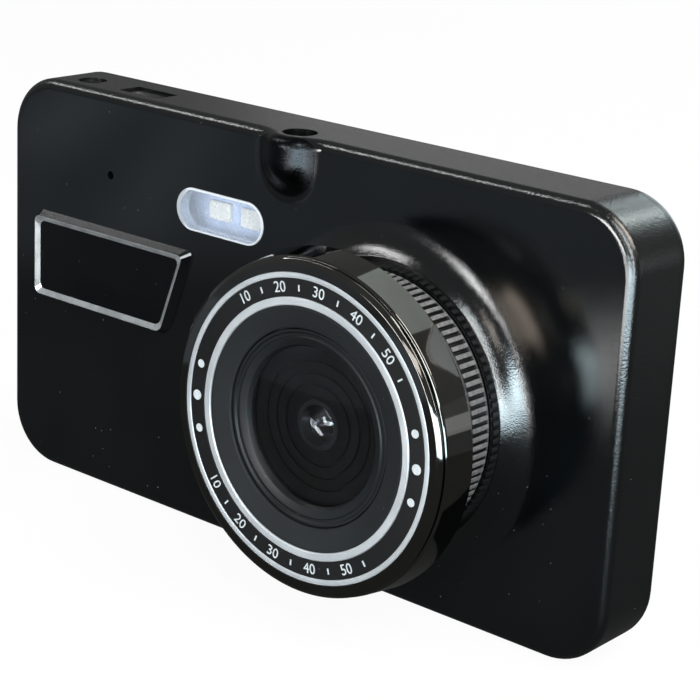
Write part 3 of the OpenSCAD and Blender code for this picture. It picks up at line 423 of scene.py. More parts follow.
@dataclass(frozen=True)
class SheetMetal(Finish):
    """Plain metal with drawn lines along one axis and some tarnish."""

    rough: float = 0.3
    drawn: Triple = (0.08, 1.0, 1.0)
    metal: float = 1.0
    spread: ClassVar[Point] = (0.4, 0.75)
    shades: ClassVar[Point] = (1.0, 0.7)
    matt: ClassVar[Point] = (0.7, 0.6)
    line: ClassVar[float] = 0.12
    depth: ClassVar[float] = 0.002
    tarnish: ClassVar[float] = 2.6

    def paint(self, graph: Graph) -> None:
        """Add the drawn lines and the tarnish."""
        lines = graph.noise(self.line, stretch=self.drawn)
        graph.surface({
            "Base Color": self.shade(graph, graph.noise(self.tarnish, CLOUDY)),
            "Metallic": self.metal,
            "Roughness": self.rough * self.roughness(lines),
            "Normal": graph.bump(lines, self.depth),
        })


class PrintedInk(Finish):
    """Printed ink, a little thin in places."""

    shades: Point = (0.88, 1.0)
    matt: Point = (0.45, 0.2)
    gloss: float = 0.3
    thin: float = 0.5

    def paint(self, graph: Graph) -> None:
        """Add the thin places."""
        thin = graph.noise(self.thin)
        graph.surface({
            "Base Color": self.shade(graph, thin),
            "Roughness": self.roughness(thin),
            "Specular IOR Level": self.gloss,
        })


@dataclass(frozen=True)
class ClearGlass(Finish):
    """Clear glass, with faint smears on its gloss."""

    index: float = 1.46
    coat: float = 0.0
    spread: ClassVar[Point] = (0.4, 0.8)
    shades: ClassVar[Point] = (1.0, 0.96)
    matt: ClassVar[Point] = (0.015, 0.03)
    smear: ClassVar[float] = 3.0
    smear_edge: ClassVar[Point] = (0.55, 0.8)

    def paint(self, graph: Graph) -> None:
        """Add the smears."""
        smear = graph.noise(self.smear, CLOUDY)
        graph.surface({
            "Base Color": self.shade(graph, smear),
            "Roughness": self.roughness(smear.above(*self.smear_edge)),
            "IOR": self.index,
            "Transmission Weight": 1.0,
            "Coat Weight": self.coat,
        })


class LampCover(Finish):
    """A clear cover with a thin frost, a white rim, milky sides in painted shade and a plated left
    tip.
    """

    spread: Point = (0.3, 0.7)
    shades: Point = (0.95, 1.05)
    matt: Point = (0.28, -0.16)
    front: float = PLATE - COVER_PROUD
    rim: float = 0.3
    rim_blur: float = 0.08
    rim_colour: Colour = (0.74, 0.79, 0.84)
    tip: Point = (2.4, 1.4)
    tip_rim: float = 0.4
    tip_metal: float = 0.45
    frost: float = 0.27
    frost_depth: Point = (0.3, 0.6)
    sides: float = 0.75
    # The sides are darkened to the tone of the board in shade: painted shade.
    painted_side_shade: float = 0.78
    side_depth: Point = (0.5, 0.8)
    cloud: float = 1.2
    depth: float = 0.01
    relief: float = 0.4

    def paint(self, graph: Graph) -> None:
        """Add the rim, the tip, the frost and the painted shade of the sides."""
        across, deep, up = graph.xyz((COVER_CENTRE[0], self.front, COVER_CENTRE[1]))
        width, height = COVER_SIZE
        straight = (abs(across) - (width - height) / 2).most(0.0)
        reach = (straight * straight + up * up) ** 0.5
        inside = height / 2 - self.rim
        tip = (-across).above(*(width / 2 - from_end for from_end in self.tip))
        rim = (reach + tip * self.tip_rim).above(inside - self.rim_blur, inside + self.rim_blur)
        cloud = graph.noise(self.cloud, CLOUDY)
        # Deeper than the front, the frost colour is darkened: painted shade on the sides.
        frost = graph.blend(deep.above(*self.side_depth), self.shade(graph, cloud),
                            self.darker(self.painted_side_shade))
        front = deep.below(*self.frost_depth)
        graph.surface({
            "Base Color": graph.blend(rim * front, frost, self.rim_colour),
            "Metallic": rim * front * tip * self.tip_metal,
            "Roughness": self.roughness(rim),
            "Alpha": (front * (self.frost + (1.0 - self.frost) * rim)
                      + (1.0 - front) * rim * self.sides),
            "Normal": graph.bump(cloud, self.depth, self.relief),
        })


class ScreenGlass(Finish):
    """Black glass with the display showing faintly inside its printed border."""

    matt: Point = (0.05, 0.12)
    gloss: float = 0.5
    centre: Triple = (0.0, 0.0, 30.0)
    view: Point = (88.0, 49.0)
    blur: float = 0.1
    border: Colour = (0.002, 0.002, 0.0024)
    smear: float = 9.0
    smear_edge: Point = (0.5, 0.8)

    def paint(self, graph: Graph) -> None:
        """Add the border and the smears of use."""
        across, _, up = graph.xyz(self.centre)
        wide, tall = (abs(place).below(size / 2 - self.blur, size / 2 + self.blur)
                      for place, size in zip((across, up), self.view))
        smear = graph.noise(self.smear, CLOUDY)
        graph.surface({
            "Base Color": graph.blend(wide * tall, self.border, self.colour),
            "Roughness": self.roughness(smear.above(*self.smear_edge)),
            "Specular IOR Level": self.gloss,
        })


class CircuitBoard(Finish):
    """Solder-masked board with tracks and tinned pads."""

    matt: Point = (0.35, 0.15)
    track: Colour = (0.012, 0.11, 0.045)
    pad: Colour = (0.55, 0.5, 0.38)
    bend: float = 5.0
    bend_reach: float = 6.0
    tracks: float = 3.6
    track_edge: Point = (0.55, 0.75)
    pad_pitch: float = 2.4
    pad_edge: Point = (0.1, 0.14)
    pad_metal: float = 0.9
    depth: float = 0.02
    relief: float = 0.5

    def paint(self, graph: Graph) -> None:
        """Add the tracks and the pads."""
        across, _, up = graph.xyz()
        bend = graph.noise(self.bend, EVEN)
        lines = ((across + up + self.bend_reach * bend) * self.tracks).sine()
        lines = lines.above(*self.track_edge)
        pads = graph.cells(self.pad_pitch).below(*self.pad_edge)
        colour = graph.blend(lines, self.colour, self.track)
        graph.surface({
            "Base Color": graph.blend(pads, colour, self.pad),
            "Roughness": self.roughness(bend),
            "Metallic": pads * self.pad_metal,
            "Normal": graph.bump(lines, self.depth, self.relief),
        })


@dataclass(frozen=True)
class Contacts(Finish):
    """Plastic with a row of plated contacts along one edge."""

    start: Triple
    reach: float
    pitch: float
    along_x: bool
    matt: ClassVar[Point] = (0.45, 0.1)
    plating: ClassVar[Colour] = (0.83, 0.6, 0.24)
    polish: ClassVar[float] = 0.2
    stripe: ClassVar[Point] = (-0.1, 0.15)
    blur: ClassVar[float] = 0.05
    grain: ClassVar[float] = 0.2
    depth: ClassVar[float] = 0.004

    def paint(self, graph: Graph) -> None:
        """Add the contacts, within reach of the start, and a fine grain."""
        across, _, up = graph.xyz(self.start)
        run, row = (up, across) if self.along_x else (across, up)
        stripes = (row * (2 * math.pi / self.pitch)).sine().above(*self.stripe)
        mask = stripes * abs(run).below(self.reach - self.blur, self.reach + self.blur)
        fine = graph.noise(self.grain)
        graph.surface({
            "Base Color": graph.blend(mask, self.colour, self.plating),
            "Metallic": mask,
            "Roughness": self.roughness(fine) - self.polish * mask,
            "Normal": graph.bump(fine, self.depth),
        })


CASE_FRONT = ShellPlastic("case front plastic", (0.002, 0.0028, 0.0033), rough=0.075, gloss=1.0,
                          grain=0.15, depth=0.009, dust=0.9)
CASE_BACK = MouldedPlastic("case back plastic", (0.003, 0.0036, 0.0039), rough=0.26, gloss=0.7,
                           grain=0.22, depth=0.006, dust=0.3)
KEY_PLASTIC = MouldedPlastic("key plastic", (0.012, 0.012, 0.013), rough=0.42, gloss=0.35,
                             grain=0.12, depth=0.004)
BARREL_PLATING = TurnedMetal("barrel plating", (0.2, 0.188, 0.172), rough=0.16)
# Its pale colour is the ridges' painted highlight; the grooves are black.
RING_BLACK = GripPlastic("ring black", (0.28, 0.28, 0.285))
DIAL_BLACK = MouldedPlastic("dial black", (0.005, 0.0052, 0.0056), rough=0.45, gloss=0.3,
                            grain=0.14, depth=0.002, dust=0.4)
CONE_GREY = MouldedPlastic("cone grey", (0.011, 0.0125, 0.0138), rough=0.6, gloss=0.2,
                           grain=0.14, depth=0.004, dust=0.8)
RETAINER_BLACK = MouldedPlastic("retainer black", (0.009, 0.0105, 0.0115), rough=0.4, gloss=0.25,
                                grain=0.14, depth=0.003, dust=0.6)
BAFFLE_BLACK = MouldedPlastic("baffle black", (0.0022, 0.0022, 0.0025), rough=0.6, gloss=0.1,
                              grain=0.5, depth=0.004)
BADGE_BLACK = MouldedPlastic("name plate black", (0.003, 0.0034, 0.0038), rough=0.3, gloss=0.16,
                             grain=0.3, depth=0.003, dust=0.5)
BADGE_WALL = MouldedPlastic("name plate wall", (0.004, 0.0046, 0.005), rough=0.12, gloss=1.0,
                            grain=0.2, depth=0.006)
SOCKET_BLACK = MouldedPlastic("socket black", (0.008, 0.008, 0.009), rough=0.4, gloss=0.4,
                              grain=0.14, depth=0.004)
EPOXY_BLACK = MouldedPlastic("package epoxy", (0.012, 0.012, 0.012), rough=0.55, gloss=0.3,
                             grain=0.1, depth=0.004)
TRAY_GREY = MouldedPlastic("tray grey", (0.2, 0.21, 0.22), rough=0.5, grain=0.2)
CREAM_PLASTIC = MouldedPlastic("cream plastic", (0.72, 0.68, 0.56), rough=0.45, grain=0.2)
FOAM_GREY = MouldedPlastic("foam grey", (0.03, 0.03, 0.03), rough=0.85, gloss=0.1, grain=0.18,
                           depth=0.05)
RIBBON_BROWN = MouldedPlastic("ribbon brown", (0.28, 0.1, 0.025), rough=0.3, grain=0.4)
LEAD_RED = MouldedPlastic("lead cover", (0.35, 0.02, 0.02), rough=0.4, grain=0.3)
LED_WHITE = MouldedPlastic("lamp white", (0.95, 0.95, 0.88), rough=0.4, grain=0.2)
LED_BOARD = MouldedPlastic("lamp board", (0.6, 0.72, 1.0), rough=0.4, grain=0.2)
LCD_DARK = MouldedPlastic("display dark", (0.01, 0.012, 0.02), rough=0.15, gloss=0.5, grain=0.3,
                          depth=0.0005)
SENSOR_BLUE = MouldedPlastic("sensor blue", (0.06, 0.08, 0.24), rough=0.15, gloss=0.5, grain=0.05,
                             depth=0.001)
SEAL_RUBBER = MouldedPlastic("seal rubber", (0.014, 0.014, 0.014), rough=0.7, gloss=0.2, grain=0.1)
BOARD_GREEN = CircuitBoard("board green", (0.008, 0.06, 0.028))
BEZEL_PLATING = TurnedMetal("bezel plating", (0.17, 0.168, 0.16), rough=0.05, lines=0.5,
                            depth=0.0012)
TRIM_SILVER = TurnedMetal("trim silver", (0.62, 0.66, 0.69), rough=0.36, lines=0.06, metal=0.4)
BADGE_SILVER = SheetMetal("name plate silver", (0.5, 0.53, 0.54), rough=0.24, metal=0.55)
TIN = SheetMetal("tinned steel", (0.55, 0.56, 0.57), rough=0.3)
CELL_FOIL = SheetMetal("cell foil", (0.62, 0.63, 0.65), rough=0.35, drawn=(1.0, 1.0, 0.1))
BRASS = SheetMetal("brass", (0.62, 0.43, 0.16), rough=0.28, drawn=(1.0, 1.0, 1.0))
SCREW_DARK = SheetMetal("dark screw", (0.06, 0.06, 0.065), rough=0.35, drawn=(1.0, 1.0, 1.0))
SCREW_STEEL = SheetMetal("steel screw", (0.5, 0.5, 0.5), rough=0.3, drawn=(1.0, 1.0, 1.0))
DIAL_INK = PrintedInk("dial ink", (0.62, 0.67, 0.7))
FRONT_GLASS = ClearGlass("front glass", (0.93, 0.95, 0.97), 1.36)
LENS_GLASS = ClearGlass("lens glass", (0.9, 0.9, 0.96), 1.55, 0.4)
FILTER_GLASS = ClearGlass("filter glass", (0.75, 0.2, 0.2))
LAMP_COVER = LampCover("lamp cover", (0.76, 0.86, 1.0))
SCREEN_GLASS = ScreenGlass("screen glass", (0.008, 0.0095, 0.012))
PORT_TONGUE = Contacts("port tongue", (0.012, 0.012, 0.013), (-31.4, 0.0, 57.0), 1.6, 1.3, True)
CARD_PLASTIC = Contacts("card plastic", (0.015, 0.015, 0.017), (-34.0, 0.0, 28.0), 1.6, 1.25,
                        False)


# Building


def add_object(name: str, data: bpy.types.ID) -> bpy.types.Object:
    """Put data into the scene as an object."""
    made = bpy.data.objects.new(name, data)
    bpy.context.scene.collection.objects.link(made)
    return made


def settle(name: str, mesh: Shape) -> bpy.types.Mesh:
    """Turn a bmesh into mesh data and free it."""
    data = bpy.data.meshes.new(name)
    mesh.to_mesh(data)
    mesh.free()
    return data


def stand(place: Triple, across: Vector, back: Vector) -> Matrix:
    """The stand of a lamp or a camera, by its place and the directions of its own X and Z."""
    turn = Matrix((across, back.cross(across), back)).transposed().to_4x4()
    return Matrix.Translation(place) @ turn


def soften(mesh: Shape, geom: Sequence[Any], radius: float, steps: int,
           affect: str = "EDGES", clamp: bool = False) -> None:
    """Round edges, or the corners of flat faces.

    Args:
        mesh: The bmesh.
        geom: Its edges or corners.
        radius: Radius in millimetres.
        steps: Steps of the rounding.
        affect: EDGES or VERTICES.
        clamp: Whether the radius gives way where two roundings meet.
    """
    bmesh.ops.bevel(mesh, geom=geom, offset=radius * MM, offset_type="OFFSET", segments=steps,
                    profile=0.5, affect=affect, clamp_overlap=clamp, material=-1)


def extrude(mesh: Shape, faces: Sequence[bmesh.types.BMFace], depth: float) -> None:
    """Make closed blocks of flat faces, with a depth along Y in millimetres."""
    made = bmesh.ops.extrude_face_region(mesh, geom=faces, use_keep_orig=True)
    moved = [g for g in made["geom"] if isinstance(g, bmesh.types.BMVert)]
    bmesh.ops.translate(mesh, verts=moved, vec=Vector((0, depth * MM, 0)))
    bmesh.ops.recalc_face_normals(mesh, faces=mesh.faces)


def block(mesh: Shape, face: bmesh.types.BMFace, depth: float, soft: float) -> None:
    """Make a closed block of a flat face and round the edge of that face.

    Args:
        mesh: The bmesh that holds the face.
        face: The face.
        depth: How far along Y the block goes, in millimetres.
        soft: Radius of the rounded edge.
    """
    extrude(mesh, [face], depth)
    soften(mesh, list(face.edges), soft, 3)


def outline(mesh: Shape, corners: Sequence[Point], rounding: float, depth: float,
            steps: int = 8) -> bmesh.types.BMFace:
    """Add a flat face with rounded corners, facing the front.

    Args:
        mesh: The bmesh that it is added to.
        corners: Corners in X and Z, in millimetres, in order as seen from the front.
        rounding: Radius of its corners.
        depth: Its Y in millimetres.
        steps: Steps of a corner.

    Returns:
        The face.
    """
    verts = [mesh.verts.new(Vector((x, depth, z)) * MM) for x, z in corners]
    face = mesh.faces.new(verts)
    face.normal_update()
    if face.normal.y > 0:
        face.normal_flip()
    soften(mesh, verts, rounding, steps, "VERTICES")
    return mesh.faces[:][-1]


def inset(corners: Sequence[Point], distance: float) -> list[Point]:
    """Corners of an outline moved inwards.

    Args:
        corners: Corners in order, anticlockwise as seen from the front.
        distance: How far its sides move.

    Returns:
        The new corners.
    """
    moved = []
    for n, corner in enumerate(corners):
        here = Vector(corner)
        before = (here - Vector(corners[n - 1])).normalized()
        after = (Vector(corners[(n + 1) % len(corners)]) - here).normalized()
        left, right = (Vector((-side.y, side.x)) for side in (before, after))
        moved.append(tuple(here + (left + right) * distance / (1 + left.dot(right))))
    return moved


def rectangle(centre: Point, width: float, height: float) -> list[Point]:
    """Corners of an upright rectangle."""
    x, z = centre
    return [(x - width / 2, z - height / 2), (x + width / 2, z - height / 2),
            (x + width / 2, z + height / 2), (x - width / 2, z + height / 2)]


def ring(inner: float, outer: float, back: float, front: float) -> list[Point]:
    """Half section of a plain ring, by two radii and two heights."""
    return [(inner, back), (outer, back), (outer, front), (inner, front)]


def dome(radius: float, height: float, rise: float, count: int = 10) -> list[Point]:
    """Points of a shallow dome.

    Args:
        radius: Radius of its edge.
        height: Height of its edge.
        rise: How far its middle stands over the edge.
        count: Number of steps from the edge to the middle.

    Returns:
        Points from the edge to the middle, as radius and height.
    """
    ball = (radius * radius + rise * rise) / (2 * rise)
    reach = math.asin(radius / ball)
    return [(ball * math.sin(reach * (1 - n / count)),
             height + rise - ball + ball * math.cos(reach * (1 - n / count)))
            for n in range(count + 1)]


@dataclass
class Bench:
    """Makes finished pieces, puts them on their bodies and reports them.

    The weight is that of large faces in the normals. Points closer than merge, in millimetres,
    become one.
    """

    weight: int = 60
    merge: float = 0.0005

    def finish(self, name: str, mesh: Shape, finishes: Sequence[Finish], slot: str,
               nodes: Sequence[str], body: str = Body.CASE.value, edge: Edge = Edge.SOFT,
               weigh: bool = True) -> None:
        """Turn a bmesh into a piece of the object.

        Args:
            name: Name of the piece.
            mesh: Its shape in metres in the shared frame; it is freed.
            finishes: Its finishes, by the material numbers of its faces.
            slot: The record's material slot of the piece; not used.
            nodes: CAD nodes that it stands for.
            body: The body that it rides on.
            edge: How crisp its edges are.
            weigh: Whether large faces keep their own normals.
        """
        for face in mesh.faces:
            face.smooth = True
        for side in mesh.edges:
            side.smooth = len(side.link_faces) == 2 and side.calc_face_angle(0.0) < edge.value
        data = settle(name, mesh)
        for finish in finishes:
            data.materials.append(finish.material())
        piece = add_object(name, data)
        if weigh:
            modifier = piece.modifiers.new("even normals", "WEIGHTED_NORMAL")
            modifier.keep_sharp = True
            modifier.weight = self.weight
        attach(piece, body)
        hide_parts(*nodes)
        LOG.info("%s rides on %s", name, body)

    def skin(self, node: str, finish: Finish, slot: str, body: str = Body.CASE.value,
             edge: Edge = Edge.SOFT) -> None:
        """Stand a merged, smooth copy of a CAD node in for it.

        Args:
            node: The CAD node.
            finish: The finish of the skin.
            slot: The record's material slot of the node; not used.
            body: The body that it rides on.
            edge: How crisp its edges are.
        """
        mesh = bmesh.new()
        mesh.from_mesh(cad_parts[node].data)
        bmesh.ops.remove_doubles(mesh, verts=mesh.verts, dist=self.merge * MM)
        self.finish(f"{node}_skin", mesh, [finish], slot, [node], body, edge)

    def dress(self, nodes: Iterable[str], finish: Finish) -> None:
        """Give CAD nodes that stay as they are a finish."""
        for node in nodes:
            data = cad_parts[node].data
            data.materials.clear()
            data.materials.append(finish.material())
            LOG.info("%s dressed in %s", node, finish.name)


BENCH = Bench()


@dataclass
class Lathe:
    """Turns half sections about the lens axis.

    Their points are radius and height over the plate, in millimetres. The tolerances for merging
    and for what lies on the axis are in metres.
    """

    axis: Point = LENS_AXIS
    steps: int = 160
    soft_steps: int = 4
    merge: float = 1e-7
    on_axis: float = 1e-8

    def at(self, radius: float, height: float, angle: float = 0.0) -> Vector:
        """The place in metres of a radius, a height and an angle in degrees."""
        turn = math.radians(angle)
        return Vector((self.axis[0] + radius * math.cos(turn), PLATE - height,
                       self.axis[1] + radius * math.sin(turn))) * MM

    def section(self, mesh: Shape, points: Sequence[Point], soft: float,
                keep: Sequence[int]) -> list[bmesh.types.BMEdge]:
        """Lay a half section with rounded corners into a bmesh.

        Args:
            mesh: The bmesh.
            points: Corners as radius and height, in order round the section.
            soft: Radius of the rounded corners.
            keep: Numbers of the corners that stay as they are.

        Returns:
            The edges of the section.
        """
        corners = [mesh.verts.new(self.at(*point)) for point in points]
        mesh.faces.new(corners)
        rounded = [v for n, v in enumerate(corners) if n not in keep and points[n][0] > 0]
        if soft:
            soften(mesh, rounded, soft, self.soft_steps, "VERTICES", True)
        face = mesh.faces[:][-1]
        edges = list(face.edges)
        mesh.faces.remove(face)
        middle = self.axis[0] * MM
        for side in list(edges):
            if all(abs(v.co.x - middle) < self.on_axis for v in side.verts):
                edges.remove(side)
                mesh.edges.remove(side)
        return edges

    def turn(self, points: Sequence[Point], soft: float = 0.0,
             keep: Sequence[int] = ()) -> Shape:
        """Turn a half section into a closed ring or disc.

        Args:
            points: Corners as radius and height, in order round the section.
            soft: Radius of the rounded corners.
            keep: Numbers of the corners that stay as they are.

        Returns:
            The turned bmesh.
        """
        mesh = bmesh.new()
        edges = self.section(mesh, points, soft, keep)
        verts = list({v for e in edges for v in e.verts})
        bmesh.ops.spin(mesh, geom=verts + edges, cent=self.at(0, 0), axis=(0, 1, 0),
                       angle=2 * math.pi, steps=self.steps, use_merge=True)
        bmesh.ops.remove_doubles(mesh, verts=mesh.verts, dist=self.merge)
        bmesh.ops.recalc_face_normals(mesh, faces=mesh.faces)
        return mesh


@dataclass(frozen=True)
class Turned:
    """A ring that is turned in one piece and stands for one CAD node."""

    name: str
    node: str
    section: Sequence[Point]
    soft: float
    finish: Finish
    slot: str


class Case:
    """The two shells of the case."""

    def build(self) -> None:
        """Make the skins of the shells."""
        BENCH.skin("front_housing", CASE_FRONT, "case_front")
        BENCH.skin("rear_cover", CASE_BACK, "case_back")


@dataclass
class LensHead:
    """Everything in front of the plate that is turned about the lens axis.

    A bevel and the groove are given by radius and height, a dot by angle and radius, and a scale
    by its first angle, its step and whether its marks stand with their feet outwards.
    """

    lathe: Lathe = field(default_factory=Lathe)
    ring_back: float = 2.55
    ring_front: float = 6.4
    ring_rim: float = 0.35
    ring_root: float = 17.8
    ring_top: float = 18.2
    ring_bore: float = 15.55
    ring_soft: float = 0.06
    ridges: int = 96
    ridge_share: float = 0.52
    ridge_start: float = 0.61
    ridge_sunk: float = 0.3
    ridge_lap: float = 0.02
    ridge_soft: float = 0.1
    bezel_back: float = 12.05
    bezel_front: float = 17.55
    bezel_step: float = 16.55
    bezel_wide: float = 22.6
    bezel_taper: float = 0.5
    bezel_narrow: float = 21.9
    bezel_bore: float = 20.25
    bezel_soft: float = 0.2
    crest_bevel: Point = (0.2, 0.3)
    groove: Point = (0.45, 0.12)
    shoulder: float = 0.3
    front_bevel: Point = (0.55, 0.4)
    dial_face: float = 17.45
    rings: Sequence[Turned] = (
        Turned("outer_trim_turned", "outer_trim_ring", ring(19.45, 20.2, 17.0, 17.5), 0.12,
               TRIM_SILVER, "trim_silver"),
        Turned("dial_turned", "dial_ring", ring(17.11, 19.4, 16.55, dial_face), 0.05,
               DIAL_BLACK, "dial_black"),
        Turned("inner_trim_turned", "inner_trim_ring", ring(15.95, 17.06, 16.6, 17.5), 0.2,
               TRIM_SILVER, "trim_silver"),
        Turned("cone_turned", "inner_cone",
               ((12.95, 15.8), (15.9, 16.55), (15.9, 17.35), (15.6, 17.35), (13.15, 16.85),
                (12.95, 16.7)), 0.06, CONE_GREY, "cone_grey"),
        Turned("retainer_turned", "lens_retainer",
               ((10.4, 15.45), (12.8, 15.45), (12.8, 16.55), (12.45, 16.55), (12.3, 16.3),
                (11.9, 16.3), (11.75, 16.45), (10.75, 16.1)), 0.05, RETAINER_BLACK, "dial_black"),
    )
    mark_top: float = 17.5
    mark_radius: float = 18.27
    dots: Sequence[Point] = ((-14.0, 0.55), (0.0, 0.68), (14.0, 0.55))
    dot_steps: int = 28
    scales: Sequence[tuple[float, float, bool]] = ((125.0, -10.0, False), (217.0, 10.0, True))
    scale_marks: int = 10
    numeral: float = 2.0
    numeral_steps: int = 4
    tick: Point = (0.22, 0.8)
    glass_radius: float = 12.0
    glass_back: float = 14.55
    glass_edge: float = 15.43
    glass_rise: float = 0.3

    def build(self) -> None:
        """Make the pieces from the back to the front."""
        BENCH.skin("lens_barrel", BARREL_PLATING, "barrel_black")
        self.focus_ring()
        self.bezel()
        for part in self.rings:
            BENCH.finish(part.name, self.lathe.turn(part.section, part.soft), [part.finish],
                         part.slot, [part.node])
        self.marks()
        self.glass()

    def focus_ring(self) -> None:
        """The ridged ring: two plain rims and rounded ridges on a turned root."""
        back, front, rim = self.ring_back, self.ring_front, self.ring_rim
        middle = (self.ring_root + self.ring_top) / 2
        mesh = self.lathe.turn([
            (self.ring_bore, back), (middle, back), (middle, back + rim),
            (self.ring_root, back + rim), (self.ring_root, front - rim),
            (middle, front - rim), (middle, front), (self.ring_bore, front),
        ], self.ring_soft)
        pitch = 2 * math.pi / self.ridges
        width = self.ridge_share * pitch * self.ring_top
        length = front - back - 2 * rim + self.ridge_lap
        height = self.ring_top - self.ring_root + self.ridge_sunk
        size = Matrix.Diagonal(Vector((height, length, width)) * MM).to_4x4()
        lift = Matrix.Translation(Vector((self.ring_top - height / 2, 0, 0)) * MM)
        centre = Matrix.Translation(self.lathe.at(0, (front + back) / 2))
        edges = []
        for n in range(self.ridges):
            turn = Matrix.Rotation(-(n + self.ridge_start) * pitch, 4, "Y")
            made = bmesh.ops.create_cube(mesh, size=1, matrix=centre @ turn @ lift @ size)
            edges += list({e for v in made["verts"] for e in v.link_edges})
        soften(mesh, edges, self.ridge_soft, 2)
        BENCH.finish("focus_ring_ridged", mesh, [RING_BLACK], "ring_black", ["focus_ring"],
                     Body.FOCUS.value)

    def bezel(self) -> None:
        """The plated bezel: a tapered drum, a groove and a narrower front band."""
        narrow, bore = self.bezel_narrow, self.bezel_bore
        crest = self.bezel_wide - self.bezel_taper
        back, step, front = self.bezel_back, self.bezel_step, self.bezel_front
        floor = narrow - self.groove[0]
        section = [
            (bore, back), (self.bezel_wide, back), (crest, step - self.crest_bevel[1]),
            (crest - self.crest_bevel[0], step), (floor, step), (floor, step + self.groove[1]),
            (narrow, step + self.shoulder), (narrow, front - self.front_bevel[1]),
            (narrow - self.front_bevel[0], front), (bore, front),
        ]
        mesh = self.lathe.turn(section, self.bezel_soft, keep=(0, len(section) - 1))
        BENCH.finish("bezel_turned", mesh, [BEZEL_PLATING], "bezel_plating", ["bezel_ring"])

    def marks(self) -> None:
        """The printed marks of the dial: dots at both sides, numbers and ticks above and below."""
        mesh = bmesh.new()
        for side in (0, 180):
            for offset, radius in self.dots:
                made = bmesh.ops.create_circle(mesh, cap_ends=True, segments=self.dot_steps,
                                               radius=radius * MM)
                self.print_on(mesh, made["verts"], side + offset, False)
        for start, step, flip in self.scales:
            for n in range(self.scale_marks):
                angle = start + n * step
                if n % 2:
                    made = bmesh.ops.create_grid(mesh, x_segments=1, y_segments=1, size=MM / 2)
                    bmesh.ops.scale(mesh, verts=made["verts"], vec=(*self.tick, 1.0))
                    self.print_on(mesh, made["verts"], angle, flip)
                else:
                    self.numeral_on(mesh, str((n // 2 + 1) * 10), angle, flip)
        extrude(mesh, mesh.faces[:], self.dial_face - self.mark_top)
        BENCH.finish("dial_print", mesh, [DIAL_INK], "ink", ["dial_marks"], edge=Edge.CRISP,
                     weigh=False)

    def print_on(self, mesh: Shape, verts: Sequence[bmesh.types.BMVert], angle: float,
                 flip: bool) -> None:
        """Lay a flat mark on the dial.

        Args:
            mesh: The bmesh of the marks.
            verts: The mark, flat about the origin in X and Y.
            angle: Its place round the dial in degrees.
            flip: Whether its foot points outwards, so that it reads upright below the lens.
        """
        turn = Matrix.Rotation(-math.radians(angle + (90 if flip else -90)), 4, "Y")
        upright = Matrix.Rotation(math.pi / 2, 4, "X")
        place = Matrix.Translation(self.lathe.at(self.mark_radius, self.dial_face, angle))
        bmesh.ops.transform(mesh, verts=verts, matrix=place @ turn @ upright)

    def numeral_on(self, mesh: Shape, digits: str, angle: float, flip: bool) -> None:
        """Lay a number on the dial, from Blender's own type.

        Args:
            mesh: The bmesh of the marks.
            digits: The number.
            angle: Its place round the dial in degrees.
            flip: Whether its foot points outwards.
        """
        curve = bpy.data.curves.new(f"number_{digits}", "FONT")
        curve.body = digits
        curve.size = self.numeral * MM
        curve.align_x = curve.align_y = "CENTER"
        curve.resolution_u = self.numeral_steps
        shape = add_object(curve.name, curve)
        view = bpy.context.evaluated_depsgraph_get()
        flat = bpy.data.meshes.new_from_object(shape.evaluated_get(view))
        bpy.data.objects.remove(shape)
        before = set(mesh.verts)
        mesh.from_mesh(flat)
        bpy.data.meshes.remove(flat)
        self.print_on(mesh, [v for v in mesh.verts if v not in before], angle, flip)

    def glass(self) -> None:
        """The front glass and what shows behind it."""
        radius, back = self.glass_radius, self.glass_back
        crown = dome(radius, self.glass_edge, self.glass_rise)
        mesh = self.lathe.turn([(0, back), (radius, back), *crown])
        BENCH.finish("front_glass_crowned", mesh, [FRONT_GLASS], "front_glass", ["front_glass"])
        BENCH.skin("lens_baffle", BAFFLE_BLACK, "barrel_black")
        BENCH.skin("lens_cell", RETAINER_BLACK, "barrel_black", Body.FOCUS.value)
        for node in ("front_element", "rear_element"):
            BENCH.skin(node, LENS_GLASS, "lens_glass", Body.FOCUS.value)


@dataclass
class NamePlate:
    """The bevelled plate on the front, with sloping sides and a bare black panel."""

    corners: Sequence[Point] = ((-49.3, 26.9), (-21.6, 26.9), (-17.0, 40.25), (-49.3, 40.25))
    rounding: float = 1.2
    rim_rounding: float = 1.0
    height: float = 1.3
    slope: float = 0.65
    land: float = 0.1
    bevel: float = 0.68
    drop: float = 0.45

    def build(self) -> None:
        """Make the plate as one piece: side, land and bevel bridged between four outlines."""
        mesh = bmesh.new()
        rim = inset(self.corners, self.slope)
        crest = inset(rim, self.land)
        panel = inset(crest, self.bevel)
        top = PLATE - self.height
        faces = [
            outline(mesh, self.corners, self.rounding, PLATE),
            outline(mesh, rim, self.rim_rounding, top),
            outline(mesh, crest, self.rim_rounding - self.land, top),
            outline(mesh, panel, self.rim_rounding, top + self.drop),
        ]
        finishes = [BADGE_WALL, BADGE_SILVER, BADGE_BLACK]
        bands = [BADGE_WALL, BADGE_SILVER, BADGE_SILVER]
        faces[-1].material_index = finishes.index(BADGE_BLACK)
        loops = [list(face.edges) for face in faces]
        bmesh.ops.delete(mesh, geom=faces[1:3], context="FACES_ONLY")
        for low, high, band in zip(loops, loops[1:], bands):
            for face in bmesh.ops.bridge_loops(mesh, edges=low + high)["faces"]:
                face.material_index = finishes.index(band)
        bmesh.ops.recalc_face_normals(mesh, faces=mesh.faces)
        BENCH.finish("name_plate_bevelled", mesh, finishes, "badge_metal",
                     ["badge_frame", "badge_panel"], edge=Edge.CRISP)


